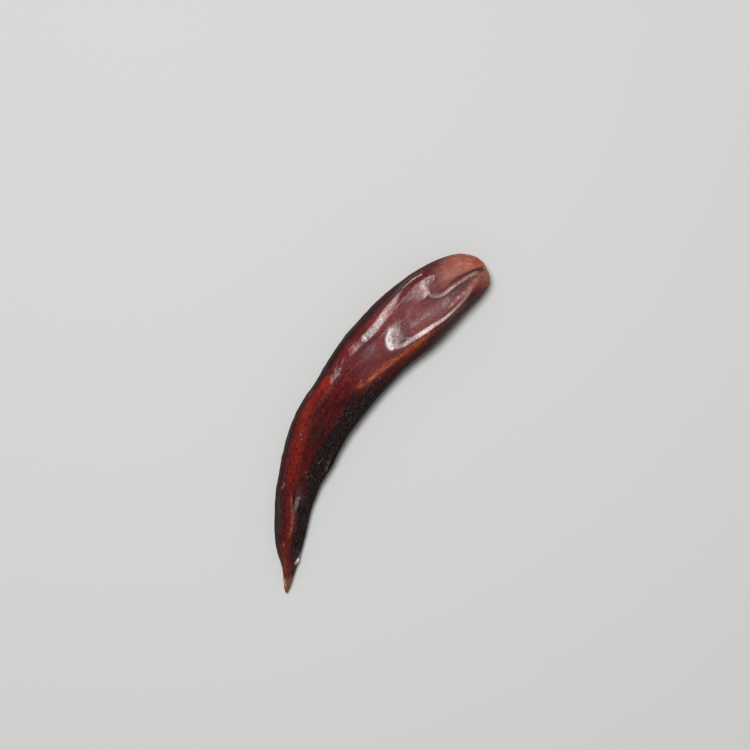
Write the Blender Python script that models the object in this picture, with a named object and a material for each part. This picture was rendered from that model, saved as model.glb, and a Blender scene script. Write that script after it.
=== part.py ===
"""Dried guajillo chili pod lying on its side, stem broken off.

The row frame is metres, +Z up.  The straight line from the stem end to the
tip runs along +X, the pod bows towards -Y, and it rests on z = 0 with the
origin at the middle of its footprint.  Two separate pieces: the pod, which
grew as one skin, and the dry fibrous calyx remnant left in its stem end.
"""

import math

import bmesh
import bpy
import numpy as np
from mathutils import Matrix, Vector

OBJECT_NAME = "guajillo_chili"
MM = 0.001

# ---------------------------------------------------------------- dimensions
GRID = 0.31                     # one step of the plan grid, in millimetres
STEM_END = (488.0, 273.0)       # plan grid point at the stem end
TIP = (286.5, 592.5)            # plan grid point at the tip

# Seen from above, on the plan grid (u to the right, v down): the two edges of
# the pod at each station from the stem end to the tip, then its full height
# and the height of its middle above the surface, in millimetres.
STATIONS = [
    (481.5, 261.5, 489.8, 279.5, 6.0, 7.30),
    (476.5, 257.2, 488.6, 285.0, 8.8, 7.30),
    (469.5, 254.5, 485.0, 291.0, 11.3, 7.30),
    (460.0, 253.5, 479.0, 298.0, 13.2, 7.35),
    (448.0, 255.5, 471.5, 306.0, 14.6, 7.45),
    (434.0, 260.8, 462.0, 315.5, 15.7, 7.65),
    (420.0, 268.3, 452.0, 326.5, 16.5, 7.85),
    (404.0, 279.0, 440.5, 338.5, 16.9, 8.00),
    (388.0, 291.5, 428.0, 349.8, 16.8, 7.95),
    (372.5, 305.5, 415.0, 360.0, 16.4, 7.80),
    (358.5, 321.0, 402.5, 371.0, 15.8, 7.65),
    (347.0, 333.5, 391.0, 382.5, 15.3, 7.55),
    (337.5, 346.0, 380.0, 394.5, 14.9, 7.50),
    (328.0, 360.0, 370.0, 406.5, 14.5, 7.50),
    (319.0, 375.5, 360.5, 418.0, 14.1, 7.50),
    (309.0, 391.5, 351.5, 430.0, 13.7, 7.40),
    (299.0, 407.0, 344.0, 442.0, 13.4, 7.05),
    (291.1, 423.0, 337.5, 454.0, 13.1, 6.60),
    (285.4, 441.2, 331.0, 466.8, 12.6, 6.10),
    (281.2, 458.8, 324.4, 478.9, 12.0, 5.75),
    (278.3, 476.4, 318.4, 490.3, 11.2, 5.35),
    (275.3, 493.6, 313.8, 501.1, 10.3, 4.95),
    (274.0, 509.8, 310.3, 512.3, 9.6, 4.60),
    (273.7, 525.9, 307.1, 524.9, 8.8, 4.20),
    (274.5, 542.2, 303.9, 538.7, 7.8, 3.75),
    (277.0, 555.4, 300.6, 551.9, 6.7, 3.35),
    (280.2, 565.6, 297.7, 563.0, 5.4, 3.00),
    (282.2, 574.2, 294.2, 573.2, 4.1, 2.75),
    (282.8, 581.8, 291.7, 581.8, 3.0, 2.60),
    (283.0, 588.4, 289.3, 588.7, 2.2, 2.50),
    (284.2, 593.0, 287.0, 593.2, 1.4, 2.45),
]
# Height of the upper side, as a share of its crown, at places across the pod
# (-1 is the -Y edge, 1 the +Y edge), for the stations with these numbers: two
# crests with a sunken panel between them, then one crest that runs to the tip.
UPPER = [
    (0, [(-.8, .62), (-.5, .90), (-.25, .98), (0, .97), (.25, .96), (.5, .88), (.8, .60)]),
    (2, [(-.9, .46), (-.8, .66), (-.6, .87), (-.4, .97), (-.2, .97), (0, .92), (.2, .90),
         (.4, .90), (.55, .87), (.68, .77), (.8, .61), (.9, .43)]),
    (4, [(-.9, .46), (-.8, .67), (-.65, .85), (-.5, .93), (-.38, .95), (-.25, .93), (-.1, .86),
         (.05, .84), (.25, .83), (.45, .87), (.60, .91), (.70, .92), (.78, .84), (.85, .66), (.92, .42)]),
    (5, [(-.92, .44), (-.83, .67), (-.72, .82), (-.55, .905), (-.40, .94), (-.25, .92), (-.1, .86),
         (.07, .82), (.28, .82), (.48, .87), (.64, .93), (.74, .935), (.80, .82), (.87, .60), (.93, .40)]),
    (6, [(-.92, .46), (-.84, .69), (-.76, .82), (-.60, .885), (-.42, .925), (-.25, .905), (-.1, .86),
         (.1, .81), (.3, .79), (.48, .84), (.62, .93), (.72, .945), (.78, .85), (.86, .63), (.92, .43)]),
    (7, [(-.92, .46), (-.84, .70), (-.75, .84), (-.60, .90), (-.44, .925), (-.28, .89), (-.1, .84),
         (.1, .80), (.3, .81), (.44, .87), (.55, .935), (.65, .95), (.72, .86), (.82, .64), (.90, .45)]),
    (8, [(-.92, .47), (-.82, .72), (-.73, .87), (-.58, .925), (-.46, .93), (-.3, .88), (-.1, .82),
         (.1, .79), (.3, .82), (.40, .89), (.49, .945), (.59, .955), (.66, .86), (.77, .67), (.88, .46)]),
    (9.1, [(-.9, .49), (-.8, .70), (-.68, .885), (-.56, .935), (-.44, .945), (-.3, .87), (-.14, .83),
           (.0, .895), (.14, .925), (.30, .955), (.44, .94), (.52, .86), (.62, .75), (.74, .60), (.86, .42)]),
    (9.8, [(-.9, .48), (-.8, .69), (-.68, .88), (-.56, .935), (-.44, .95), (-.3, .885), (-.14, .85),
           (.0, .895), (.14, .920), (.28, .935), (.40, .90), (.5, .82), (.6, .73), (.72, .58), (.85, .39)]),
    (11, [(-.9, .47), (-.8, .69), (-.69, .88), (-.58, .935), (-.46, .95), (-.3, .89), (-.1, .83),
          (.1, .78), (.3, .72), (.45, .67), (.54, .63), (.66, .49), (.8, .34), (.9, .23)]),
    (13, [(-.9, .47), (-.8, .67), (-.7, .82), (-.6, .915), (-.5, .96), (-.4, .965), (-.2, .91), (0, .80),
          (.2, .71), (.38, .61), (.5, .53), (.65, .40), (.8, .29), (.9, .20)]),
    (15, [(-.9, .48), (-.8, .67), (-.7, .80), (-.6, .895), (-.48, .965), (-.36, .985), (-.2, .925), (0, .80),
          (.2, .67), (.35, .58), (.5, .49), (.65, .39), (.8, .28), (.9, .19)]),
    (17, [(-.9, .47), (-.8, .65), (-.65, .83), (-.5, .94), (-.38, .985), (-.25, .97), (-.1, .88),
          (.1, .73), (.3, .59), (.5, .46), (.65, .36), (.8, .26), (.9, .18)]),
    (20, [(-.9, .46), (-.8, .65), (-.65, .83), (-.5, .93), (-.34, 1.0), (-.2, .97), (-.05, .88),
          (.12, .75), (.3, .61), (.5, .47), (.65, .37), (.8, .26), (.9, .18)]),
    (22, [(-.9, .41), (-.8, .53), (-.6, .71), (-.4, .83), (-.2, .94), (-.05, 1.0), (.1, .94),
          (.3, .77), (.5, .58), (.7, .39), (.85, .25)]),
    (24, [(-.9, .44), (-.8, .58), (-.6, .78), (-.4, .92), (-.22, 1.0), (-.05, .93), (.15, .79),
          (.35, .65), (.55, .50), (.75, .34), (.88, .22)]),
    (26, [(-.9, .62), (-.8, .84), (-.68, 1.0), (-.5, .94), (-.2, .83), (0, .76), (.2, .69),
          (.4, .62), (.58, .60), (.72, .57), (.84, .43), (.92, .28)]),
    (28, [(-.8, .72), (-.5, .90), (-.25, .84), (0, .78), (.25, .84), (.5, .80), (.8, .52)]),
    (30, [(-.8, .60), (-.5, .88), (-.2, .98), (0, 1.0), (.2, .98), (.5, .88), (.8, .60)]),
]
EVEN_OUT = 1.3                  # how far the edges are evened out, millimetres
TIP_ROUNDING = 0.5              # how far the cap reaches past the last station
RECESS_RADIUS = 2.45            # hollow in the stem end that holds the calyx
RECESS_DEPTH = 1.3
LIP_RADIUS = 2.8                # inner edge of the skin's rolled lip
CALYX_RADIUS = 2.05
CALYX_GAP = 0.3                 # between the calyx and the skin behind it
CALYX_PROUD = 0.45              # how far the dry calyx stands out of the end
AROUND = 44                     # vertices round the pod
ALONG = 76                      # rings from end to end

# Lengthwise folds of the sides and the underside: angle round the section in
# degrees where each starts and ends (0 on the +Y side, 90 on top, 180 on the -Y
# side), half-width and height in millimetres, and the stretch of the pod where
# it runs, as fractions of its length.
FOLDS = [
    (340.0, 346.0, 1.9, 0.42, 0.03, 0.62),
    (318.0, 322.0, 2.0, -0.70, 0.06, 0.70),
    (292.0, 300.0, 1.8, 0.30, 0.05, 0.55),
    (246.0, 250.0, 1.8, -0.72, 0.05, 0.52),
    (214.0, 220.0, 2.1, 0.48, 0.04, 0.60),
    (186.0, 196.0, 1.6, -0.30, 0.02, 0.38),
    (350.0, 332.0, 1.6, -0.32, 0.42, 0.93),
    (232.0, 222.0, 1.6, -0.40, 0.50, 0.95),
]

SKIN_COLOUR = (0.155, 0.012, 0.013, 1.0)
CALYX_COLOUR = (0.560, 0.330, 0.140, 1.0)


# ------------------------------------------------------------------ geometry
def plan(u, v):
    """Plan grid point to millimetres, with the stem end to tip line along +X."""
    along = Vector((TIP[0] - STEM_END[0], STEM_END[1] - TIP[1])).normalized()
    du, dv = u - STEM_END[0], STEM_END[1] - v
    return GRID * (along.x * du + along.y * dv), GRID * (along.x * dv - along.y * du)


def natural_spline(knots, values):
    """Natural cubic spline through the values; returns a function."""
    knots = np.asarray(knots, float)
    values = np.asarray(values, float)
    n = len(knots)
    step = np.diff(knots)
    system = np.eye(n)
    right = np.zeros(n)
    for i in range(1, n - 1):
        system[i, i - 1] = step[i - 1]
        system[i, i] = 2.0 * (step[i - 1] + step[i])
        system[i, i + 1] = step[i]
        right[i] = 6.0 * ((values[i + 1] - values[i]) / step[i]
                          - (values[i] - values[i - 1]) / step[i - 1])
    bend = np.linalg.solve(system, right)

    def evaluate(x):
        i = np.clip(np.searchsorted(knots, x) - 1, 0, n - 2)
        a = (knots[i + 1] - x) / step[i]
        b = (x - knots[i]) / step[i]
        return (a * values[i] + b * values[i + 1]
                + ((a ** 3 - a) * bend[i] + (b ** 3 - b) * bend[i + 1])
                * step[i] ** 2 / 6.0)

    return evaluate


def soft_curve(x, knots, values):
    """Smooth curve through the values that never overshoots between them."""
    knots = np.asarray(knots, float)
    values = np.asarray(values, float)
    step = np.diff(knots)
    slope = np.diff(values) / step
    tangent = np.zeros(len(knots))
    tangent[0], tangent[-1] = slope[0], slope[-1]
    for i in range(1, len(knots) - 1):
        if slope[i - 1] * slope[i] > 0.0:
            before, after = 2 * step[i] + step[i - 1], step[i] + 2 * step[i - 1]
            tangent[i] = (before + after) / (before / slope[i - 1] + after / slope[i])
    i = np.clip(np.searchsorted(knots, x) - 1, 0, len(knots) - 2)
    f = (x - knots[i]) / step[i]
    return ((2 * f ** 3 - 3 * f ** 2 + 1) * values[i]
            + (f ** 3 - 2 * f ** 2 + f) * step[i] * tangent[i]
            + (3 * f ** 2 - 2 * f ** 3) * values[i + 1]
            + (f ** 3 - f ** 2) * step[i] * tangent[i + 1])


def evened(arc, values, reach):
    """The values with bumps shorter than the reach taken out, ends kept."""
    out = np.empty_like(values)
    for i, s in enumerate(arc):
        room = min(reach, 0.6 * (s - arc[0]), 0.6 * (arc[-1] - s))
        if room < 1e-3:
            out[i] = values[i]
            continue
        weight = np.exp(-0.5 * ((arc - s) / room) ** 2)
        out[i] = (weight * values).sum() / weight.sum()
    return out


def smooth_window(x, low, high, edge=0.07):
    """1 between low and high, fading to 0 over the edge."""
    def ramp(t):
        t = min(1.0, max(0.0, t))
        return t * t * (3.0 - 2.0 * t)
    return ramp((x - low) / edge) * ramp((high - x) / edge)


def make_track():
    """Dense table of both edges, the height and the middle along the pod."""
    left = np.array([plan(row[0], row[1]) for row in STATIONS])
    right = np.array([plan(row[2], row[3]) for row in STATIONS])
    centre = (left + right) / 2.0
    knots = np.concatenate(([0.0], np.cumsum(
        np.linalg.norm(np.diff(centre, axis=0), axis=1))))
    arc = np.linspace(0.0, knots[-1], 501)
    columns = [left[:, 0], left[:, 1], right[:, 0], right[:, 1],
               [row[4] for row in STATIONS], [row[5] for row in STATIONS]]
    return knots, arc, [evened(arc, natural_spline(knots, column)(arc), EVEN_OUT)
                        for column in columns]


STATION_AT, ARC, TRACK = make_track()
LENGTH = float(ARC[-1])


def make_upper():
    """The UPPER table on an even net of length fraction by angle from the top."""
    lean = np.linspace(-math.pi / 2, math.pi / 2, 91)
    rows = []
    for _, points in UPPER:
        at = [-math.pi / 2] + [math.asin(l) for l, _ in points] + [math.pi / 2]
        rows.append(soft_curve(lean, at, [0.0] + [h for _, h in points] + [0.0]))
    rows = np.array(rows)
    fractions = np.interp([number for number, _ in UPPER],
                          np.arange(len(STATION_AT)), STATION_AT) / LENGTH
    fine = np.linspace(0.0, 1.0, 201)
    return fine, lean, np.stack([soft_curve(fine, fractions, rows[:, k])
                                 for k in range(len(lean))], -1)


FRACTIONS, LEAN, UPPER_NET = make_upper()


def upper_share(along, across):
    """Height of the upper side over the edges, as a share of the half height."""
    lean = math.asin(max(-1.0, min(1.0, across)))
    row = np.array([np.interp(along, FRACTIONS, UPPER_NET[:, k])
                    for k in np.clip(np.searchsorted(LEAN, lean) + np.array([-1, 0]),
                                     0, len(LEAN) - 1)])
    k = int(np.clip(np.searchsorted(LEAN, lean), 1, len(LEAN) - 1))
    share = (lean - LEAN[k - 1]) / (LEAN[k] - LEAN[k - 1])
    return float(row[0] + (row[1] - row[0]) * min(1.0, max(0.0, share)))


def station(s):
    """Centre, half-width vector and half height of the section at s."""
    left_x, left_y, right_x, right_y, height, middle = (
        float(np.interp(s, ARC, column)) for column in TRACK)
    centre = Vector(((left_x + right_x) / 2.0, (left_y + right_y) / 2.0, middle))
    across = Vector(((right_x - left_x) / 2.0, (right_y - left_y) / 2.0, 0.0))
    return centre, across, height / 2.0


def fold_height(along, angle, half_width):
    """How far the folds lift or sink the skin, in millimetres."""
    total = 0.0
    for first, last, width, height, low, high in FOLDS:
        way = min(1.0, max(0.0, (along - low) / (high - low)))
        at = first + (last - first) * way * way * (3.0 - 2.0 * way)
        away = (math.degrees(angle) - at + 180.0) % 360.0 - 180.0
        away = math.radians(away) * half_width * 0.92
        width *= min(1.0, max(0.35, half_width / 8.0))
        total += (height * math.exp(-(away / width) ** 2)
                  * smooth_window(along, low, high, 0.09))
    return total * min(1.0, half_width / 8.0)


def skin_point(s, angle, shrink=1.0):
    """Point of the skin at arc length s and angle round the section."""
    inside = min(max(s, 0.0), LENGTH)
    centre, across, half_h = station(inside)
    if s > LENGTH:
        before = station(LENGTH - 0.5)[0]
        centre = centre + (centre - before).normalized() * (s - LENGTH)
    half_width = across.length
    sideways = across.normalized()
    out = math.copysign(abs(math.cos(angle)) ** 0.95, math.cos(angle))
    if math.sin(angle) > 1e-6:
        up = upper_share(inside / LENGTH, out)
    else:
        up = -abs(math.sin(angle)) ** 0.80
    place = sideways * (out * half_width) + Vector((0.0, 0.0, up * half_h))
    if place.length > 1e-6:
        # folds stand off square to an ellipse of the section's size
        square = sideways * (out / half_width) + Vector((0.0, 0.0, up / half_h))
        place += square.normalized() * fold_height(inside / LENGTH, angle, half_width)
    return centre + place * shrink


def end_frame():
    """Centre of the stem end's face, its sideways and its inward direction."""
    centre, across, _ = station(0.0)
    side = across.normalized()
    inward = Vector((side.y, -side.x, 0.0))
    if inward.dot(station(5.0)[0] - centre) < 0.0:
        inward = -inward
    return centre, side, inward


def ring_profile():
    """Rings from the hollow of the stem end to the tip.

    Each ring is (arc length, radius in the end or None on the flank, shrink).
    """
    rings = [(RECESS_DEPTH, 0.0, 1.0), (RECESS_DEPTH, 0.55 * RECESS_RADIUS, 1.0),
             (RECESS_DEPTH, RECESS_RADIUS, 1.0), (0.10, LIP_RADIUS, 1.0)]
    flank = ALONG - len(rings) - 2
    for k in range(flank):
        t = k / (flank - 1)
        even = 0.55 * t + 0.45 * (0.5 - 0.5 * math.cos(math.pi * t))
        rings.append((LENGTH * even, None, 1.0))
    for k in (1, 2, 3):
        q = k / 3.0 * math.pi / 2.0
        rings.append((LENGTH + TIP_ROUNDING * math.sin(q), None, math.cos(q)))
    return rings


def point_on_ring(ring, angle):
    s, radius, shrink = ring
    if radius is None:
        return skin_point(s, angle, shrink)
    centre, side, inward = end_frame()
    return (centre + inward * s + side * radius * math.cos(angle)
            + Vector((0, 0, 1)) * radius * math.sin(angle))


# ------------------------------------------------------------------ pieces
def make_material(name, colour, roughness, metallic=0.0):
    material = bpy.data.materials.new(name)
    material.use_nodes = True
    shader = material.node_tree.nodes["Principled BSDF"]
    shader.inputs["Base Color"].default_value = colour
    shader.inputs["Roughness"].default_value = roughness
    shader.inputs["Metallic"].default_value = metallic
    material.diffuse_color = colour
    return material


def object_from(bm, name, collection, material):
    bmesh.ops.recalc_face_normals(bm, faces=bm.faces[:])
    mesh = bpy.data.meshes.new(name)
    bm.to_mesh(mesh)
    bm.free()
    mesh.shade_smooth()
    mesh.materials.append(material)
    obj = bpy.data.objects.new(name, mesh)
    collection.objects.link(obj)
    return obj


def make_pod(collection):
    """The skin: a sphere whose rings are carried along the bowed pod."""
    bm = bmesh.new()
    bmesh.ops.create_uvsphere(bm, u_segments=AROUND, v_segments=ALONG, radius=1.0)
    rings = ring_profile()
    for vertex in bm.verts:
        x, y, z = vertex.co
        ring = int(round(math.acos(max(-1.0, min(1.0, z))) / math.pi * ALONG))
        angle = math.atan2(y, x) % (2.0 * math.pi)
        point = point_on_ring(rings[ring], angle)
        # the pod's own weight has flattened it where it lies
        point.z = max(point.z, 0.0)
        vertex.co = point * MM
    bmesh.ops.triangulate(bm, faces=bm.faces[:], quad_method="SHORT_EDGE")
    return object_from(bm, "pod", collection,
                       make_material("skin", SKIN_COLOUR, 0.33))


def make_calyx(collection):
    """Dry, uneven disc of fibres left where the stem broke off."""
    thickness = RECESS_DEPTH - CALYX_GAP + CALYX_PROUD
    bm = bmesh.new()
    bmesh.ops.create_cone(bm, cap_ends=True, cap_tris=True, segments=22,
                          radius1=CALYX_RADIUS, radius2=CALYX_RADIUS * 0.95,
                          depth=thickness)
    for vertex in bm.verts:
        x, y, z = vertex.co
        around = math.atan2(y, x)
        if z > 0.0:
            ragged = 0.12 * math.sin(3.0 * around + 0.6) + 0.08 * math.sin(7.0 * around)
            vertex.co.z += ragged if math.hypot(x, y) > 0.1 else -0.30
        vertex.co.x *= 1.0 + 0.03 * math.sin(5.0 * around)
        vertex.co.y *= 1.0 + 0.03 * math.sin(5.0 * around)
    calyx = object_from(bm, "calyx_remnant", collection,
                        make_material("dry_calyx", CALYX_COLOUR, 0.85))
    centre, side, inward = end_frame()
    middle = centre + inward * (RECESS_DEPTH - CALYX_GAP - thickness / 2.0)
    outward = -inward
    up = outward.cross(side)
    calyx.data.transform(Matrix.Scale(MM, 4))
    calyx.rotation_euler = Matrix((side, up, outward)).transposed().to_euler()
    calyx.location = middle * MM
    return calyx


def build():
    for obj in list(bpy.data.objects):
        bpy.data.objects.remove(obj, do_unlink=True)
    collection = bpy.data.collections.new(OBJECT_NAME)
    bpy.context.scene.collection.children.link(collection)
    pod = make_pod(collection)
    calyx = make_calyx(collection)
    bpy.context.view_layer.update()
    # the origin goes to the middle of the footprint
    corners = [obj.matrix_world @ vertex.co
               for obj in (pod, calyx) for vertex in obj.data.vertices]
    shift = Vector((-(min(c.x for c in corners) + max(c.x for c in corners)) / 2.0,
                    -(min(c.y for c in corners) + max(c.y for c in corners)) / 2.0,
                    -min(c.z for c in corners)))
    for obj in (pod, calyx):
        obj.location = obj.location + shift
    bpy.context.view_layer.update()


build()
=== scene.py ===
"""Looks of the dried guajillo chili: skin, calyx remnant, floor, light, camera."""

import math

import bpy
import numpy as np
from mathutils import Matrix, Vector


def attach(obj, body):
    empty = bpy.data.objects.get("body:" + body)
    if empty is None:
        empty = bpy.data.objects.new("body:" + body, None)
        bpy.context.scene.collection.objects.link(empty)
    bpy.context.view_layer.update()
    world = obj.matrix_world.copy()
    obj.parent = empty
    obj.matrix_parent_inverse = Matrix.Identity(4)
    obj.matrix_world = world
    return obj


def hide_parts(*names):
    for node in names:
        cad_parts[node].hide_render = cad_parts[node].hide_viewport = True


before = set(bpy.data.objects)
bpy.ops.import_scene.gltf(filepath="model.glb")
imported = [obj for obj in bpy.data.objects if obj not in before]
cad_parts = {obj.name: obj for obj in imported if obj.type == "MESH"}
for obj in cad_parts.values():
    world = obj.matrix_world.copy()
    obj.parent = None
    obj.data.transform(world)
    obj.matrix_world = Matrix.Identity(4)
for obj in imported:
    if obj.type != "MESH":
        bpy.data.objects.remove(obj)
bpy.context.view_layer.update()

MM = 0.001
GRID = 0.31                     # one step of the plan grid, in millimetres
STEM_END = (488.0, 273.0)       # plan grid point at the stem end
TIP = (286.5, 592.5)            # plan grid point at the tip
ORIGIN = np.array([-57.864867, 12.706170, 0.0])   # plan to row frame, mm
PLAN_MIDDLE = (375.0, 375.0)    # plan grid point in the middle of the view

# Seen from above, on the plan grid: the two edges of the pod from the stem end
# to the tip, then its height and the height of its middle, in millimetres.
STATIONS = [
    (481.5, 261.5, 489.8, 279.5, 6.0, 7.30),
    (476.5, 257.2, 488.6, 285.0, 8.8, 7.30),
    (469.5, 254.5, 485.0, 291.0, 11.3, 7.30),
    (460.0, 253.5, 479.0, 298.0, 13.2, 7.35),
    (448.0, 255.5, 471.5, 306.0, 14.6, 7.45),
    (434.0, 260.8, 462.0, 315.5, 15.7, 7.65),
    (420.0, 268.3, 452.0, 326.5, 16.5, 7.85),
    (404.0, 279.0, 440.5, 338.5, 16.9, 8.00),
    (388.0, 291.5, 428.0, 349.8, 16.8, 7.95),
    (372.5, 305.5, 415.0, 360.0, 16.4, 7.80),
    (358.5, 321.0, 402.5, 371.0, 15.8, 7.65),
    (347.0, 333.5, 391.0, 382.5, 15.3, 7.55),
    (337.5, 346.0, 380.0, 394.5, 14.9, 7.50),
    (328.0, 360.0, 370.0, 406.5, 14.5, 7.50),
    (319.0, 375.5, 360.5, 418.0, 14.1, 7.50),
    (309.0, 391.5, 351.5, 430.0, 13.7, 7.40),
    (299.0, 407.0, 344.0, 442.0, 13.4, 7.05),
    (291.1, 423.0, 337.5, 454.0, 13.1, 6.60),
    (285.4, 441.2, 331.0, 466.8, 12.6, 6.10),
    (281.2, 458.8, 324.4, 478.9, 12.0, 5.75),
    (278.3, 476.4, 318.4, 490.3, 11.2, 5.35),
    (275.3, 493.6, 313.8, 501.1, 10.3, 4.95),
    (274.0, 509.8, 310.3, 512.3, 9.6, 4.60),
    (273.7, 525.9, 307.1, 524.9, 8.8, 4.20),
    (274.5, 542.2, 303.9, 538.7, 7.8, 3.75),
    (277.0, 555.4, 300.6, 551.9, 6.7, 3.35),
    (280.2, 565.6, 297.7, 563.0, 5.4, 3.00),
    (282.2, 574.2, 294.2, 573.2, 4.1, 2.75),
    (282.8, 581.8, 291.7, 581.8, 3.0, 2.60),
    (283.0, 588.4, 289.3, 588.7, 2.2, 2.50),
    (284.2, 593.0, 287.0, 593.2, 1.4, 2.45),
]
EVEN_OUT = 1.3
TIP_ROUNDING = 0.5
RINGS = 506                     # skin rings from the stem end to the tip
AROUND = 190                    # vertices round the skin


# ------------------------------------------------------------------ helpers
def plan(u, v):
    """Plan grid points to millimetres along and across the pod's chord."""
    along = Vector((TIP[0] - STEM_END[0], STEM_END[1] - TIP[1])).normalized()
    du, dv = np.asarray(u, float) - STEM_END[0], STEM_END[1] - np.asarray(v, float)
    return np.stack([GRID * (along.x * du + along.y * dv),
                     GRID * (along.x * dv - along.y * du)], -1)


def natural_spline(knots, values):
    knots, values = np.asarray(knots, float), np.asarray(values, float)
    n = len(knots)
    step = np.diff(knots)
    system, right = np.eye(n), np.zeros(n)
    for i in range(1, n - 1):
        system[i, i - 1] = step[i - 1]
        system[i, i] = 2.0 * (step[i - 1] + step[i])
        system[i, i + 1] = step[i]
        right[i] = 6.0 * ((values[i + 1] - values[i]) / step[i]
                          - (values[i] - values[i - 1]) / step[i - 1])
    bend = np.linalg.solve(system, right)

    def evaluate(x):
        i = np.clip(np.searchsorted(knots, x) - 1, 0, n - 2)
        a = (knots[i + 1] - x) / step[i]
        b = (x - knots[i]) / step[i]
        return (a * values[i] + b * values[i + 1]
                + ((a ** 3 - a) * bend[i] + (b ** 3 - b) * bend[i + 1])
                * step[i] ** 2 / 6.0)

    return evaluate


def evened(arc, values, reach):
    out = np.empty_like(values)
    for i, s in enumerate(arc):
        room = min(reach, 0.6 * (s - arc[0]), 0.6 * (arc[-1] - s))
        if room < 1e-3:
            out[i] = values[i]
            continue
        weight = np.exp(-0.5 * ((arc - s) / room) ** 2)
        out[i] = (weight * values).sum() / weight.sum()
    return out


def ease(x):
    x = np.clip(x, 0.0, 1.0)
    return x * x * (3.0 - 2.0 * x)


def window(x, low, high, edge):
    return ease((x - low) / edge) * ease((high - x) / edge)


def lattice_hash(ix, iy, iz, seed):
    h = (ix * 374761393 + iy * 668265263 + iz * 2147483647 + seed * 1274126177) & 0xFFFFFFFF
    h = ((h ^ (h >> 13)) * 1103515245) & 0xFFFFFFFF
    return (h ^ (h >> 16)) & 0xFFFF


def noise3(points, seed):
    """Smooth gradient noise, about -1 to 1, at points (..., 3)."""
    base = np.floor(points).astype(np.int64)
    part = points - base
    fade = part ** 3 * (part * (part * 6.0 - 15.0) + 10.0)
    total = np.zeros(points.shape[:-1])
    for dx in (0, 1):
        for dy in (0, 1):
            for dz in (0, 1):
                h = lattice_hash(base[..., 0] + dx, base[..., 1] + dy,
                                 base[..., 2] + dz, seed)
                turn = h / 65536.0 * 2.0 * math.pi
                rise = ((h * 7919) & 0xFFFF) / 32768.0 - 1.0
                flat = np.sqrt(np.maximum(0.0, 1.0 - rise * rise))
                reach = ((part[..., 0] - dx) * flat * np.cos(turn)
                         + (part[..., 1] - dy) * flat * np.sin(turn)
                         + (part[..., 2] - dz) * rise)
                weight = ((fade[..., 0] if dx else 1.0 - fade[..., 0])
                          * (fade[..., 1] if dy else 1.0 - fade[..., 1])
                          * (fade[..., 2] if dz else 1.0 - fade[..., 2]))
                total += weight * reach
    return total * 1.6


def layered(points, seed, octaves, gain=0.5):
    total, size, norm = 0.0, 1.0, 0.0
    for k in range(octaves):
        total = total + size * noise3(points * 2.03 ** k + 17.3 * k, seed + 31 * k)
        norm += size
        size *= gain
    return total / norm


def to_row(u, v, z=0.0):
    p = plan(u, v)
    return Vector(((p[0] + ORIGIN[0]) * MM, (p[1] + ORIGIN[1]) * MM, z))


UP = Vector((0.0, 0.0, 1.0))
IMAGE_RIGHT = (to_row(1.0, 0.0) - to_row(0.0, 0.0)).normalized()
IMAGE_UP = (to_row(0.0, 0.0) - to_row(0.0, 1.0)).normalized()
AIM = Vector((0.0, 0.0, 0.008))
KEY_TOWARDS = UP + 0.20 * IMAGE_UP - 0.10 * IMAGE_RIGHT
KEY_DISTANCE = 0.95
EYE_DISTANCE = 0.60
KEY_AT = np.array(AIM + KEY_TOWARDS.normalized() * KEY_DISTANCE) / MM - ORIGIN
EYE_AT = np.array(to_row(*PLAN_MIDDLE, 0.008 + EYE_DISTANCE)) / MM - ORIGIN


# --------------------------------------------------------------- base shape
def make_track():
    rows = np.array(STATIONS)
    left, right = plan(rows[:, 0], rows[:, 1]), plan(rows[:, 2], rows[:, 3])
    centre = (left + right) / 2.0
    knots = np.concatenate(([0.0], np.cumsum(
        np.linalg.norm(np.diff(centre, axis=0), axis=1))))
    arc = np.linspace(0.0, knots[-1], 501)
    columns = [left[:, 0], left[:, 1], right[:, 0], right[:, 1], rows[:, 4], rows[:, 5]]
    return knots, arc, np.stack([evened(arc, natural_spline(knots, column)(arc), EVEN_OUT)
                                 for column in columns], -1)


STATION_AT, ARC, TRACK = make_track()
LENGTH = float(ARC[-1])


def section(s):
    """Centre (x, y, z), half-width vector (x, y) and half height at s."""
    row = np.stack([np.interp(s, ARC, TRACK[:, k]) for k in range(6)], -1)
    centre = np.stack([(row[..., 0] + row[..., 2]) / 2.0,
                       (row[..., 1] + row[..., 3]) / 2.0, row[..., 5]], -1)
    across = np.stack([(row[..., 2] - row[..., 0]) / 2.0,
                       (row[..., 3] - row[..., 1]) / 2.0], -1)
    return centre, across, row[..., 4] / 2.0


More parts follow.
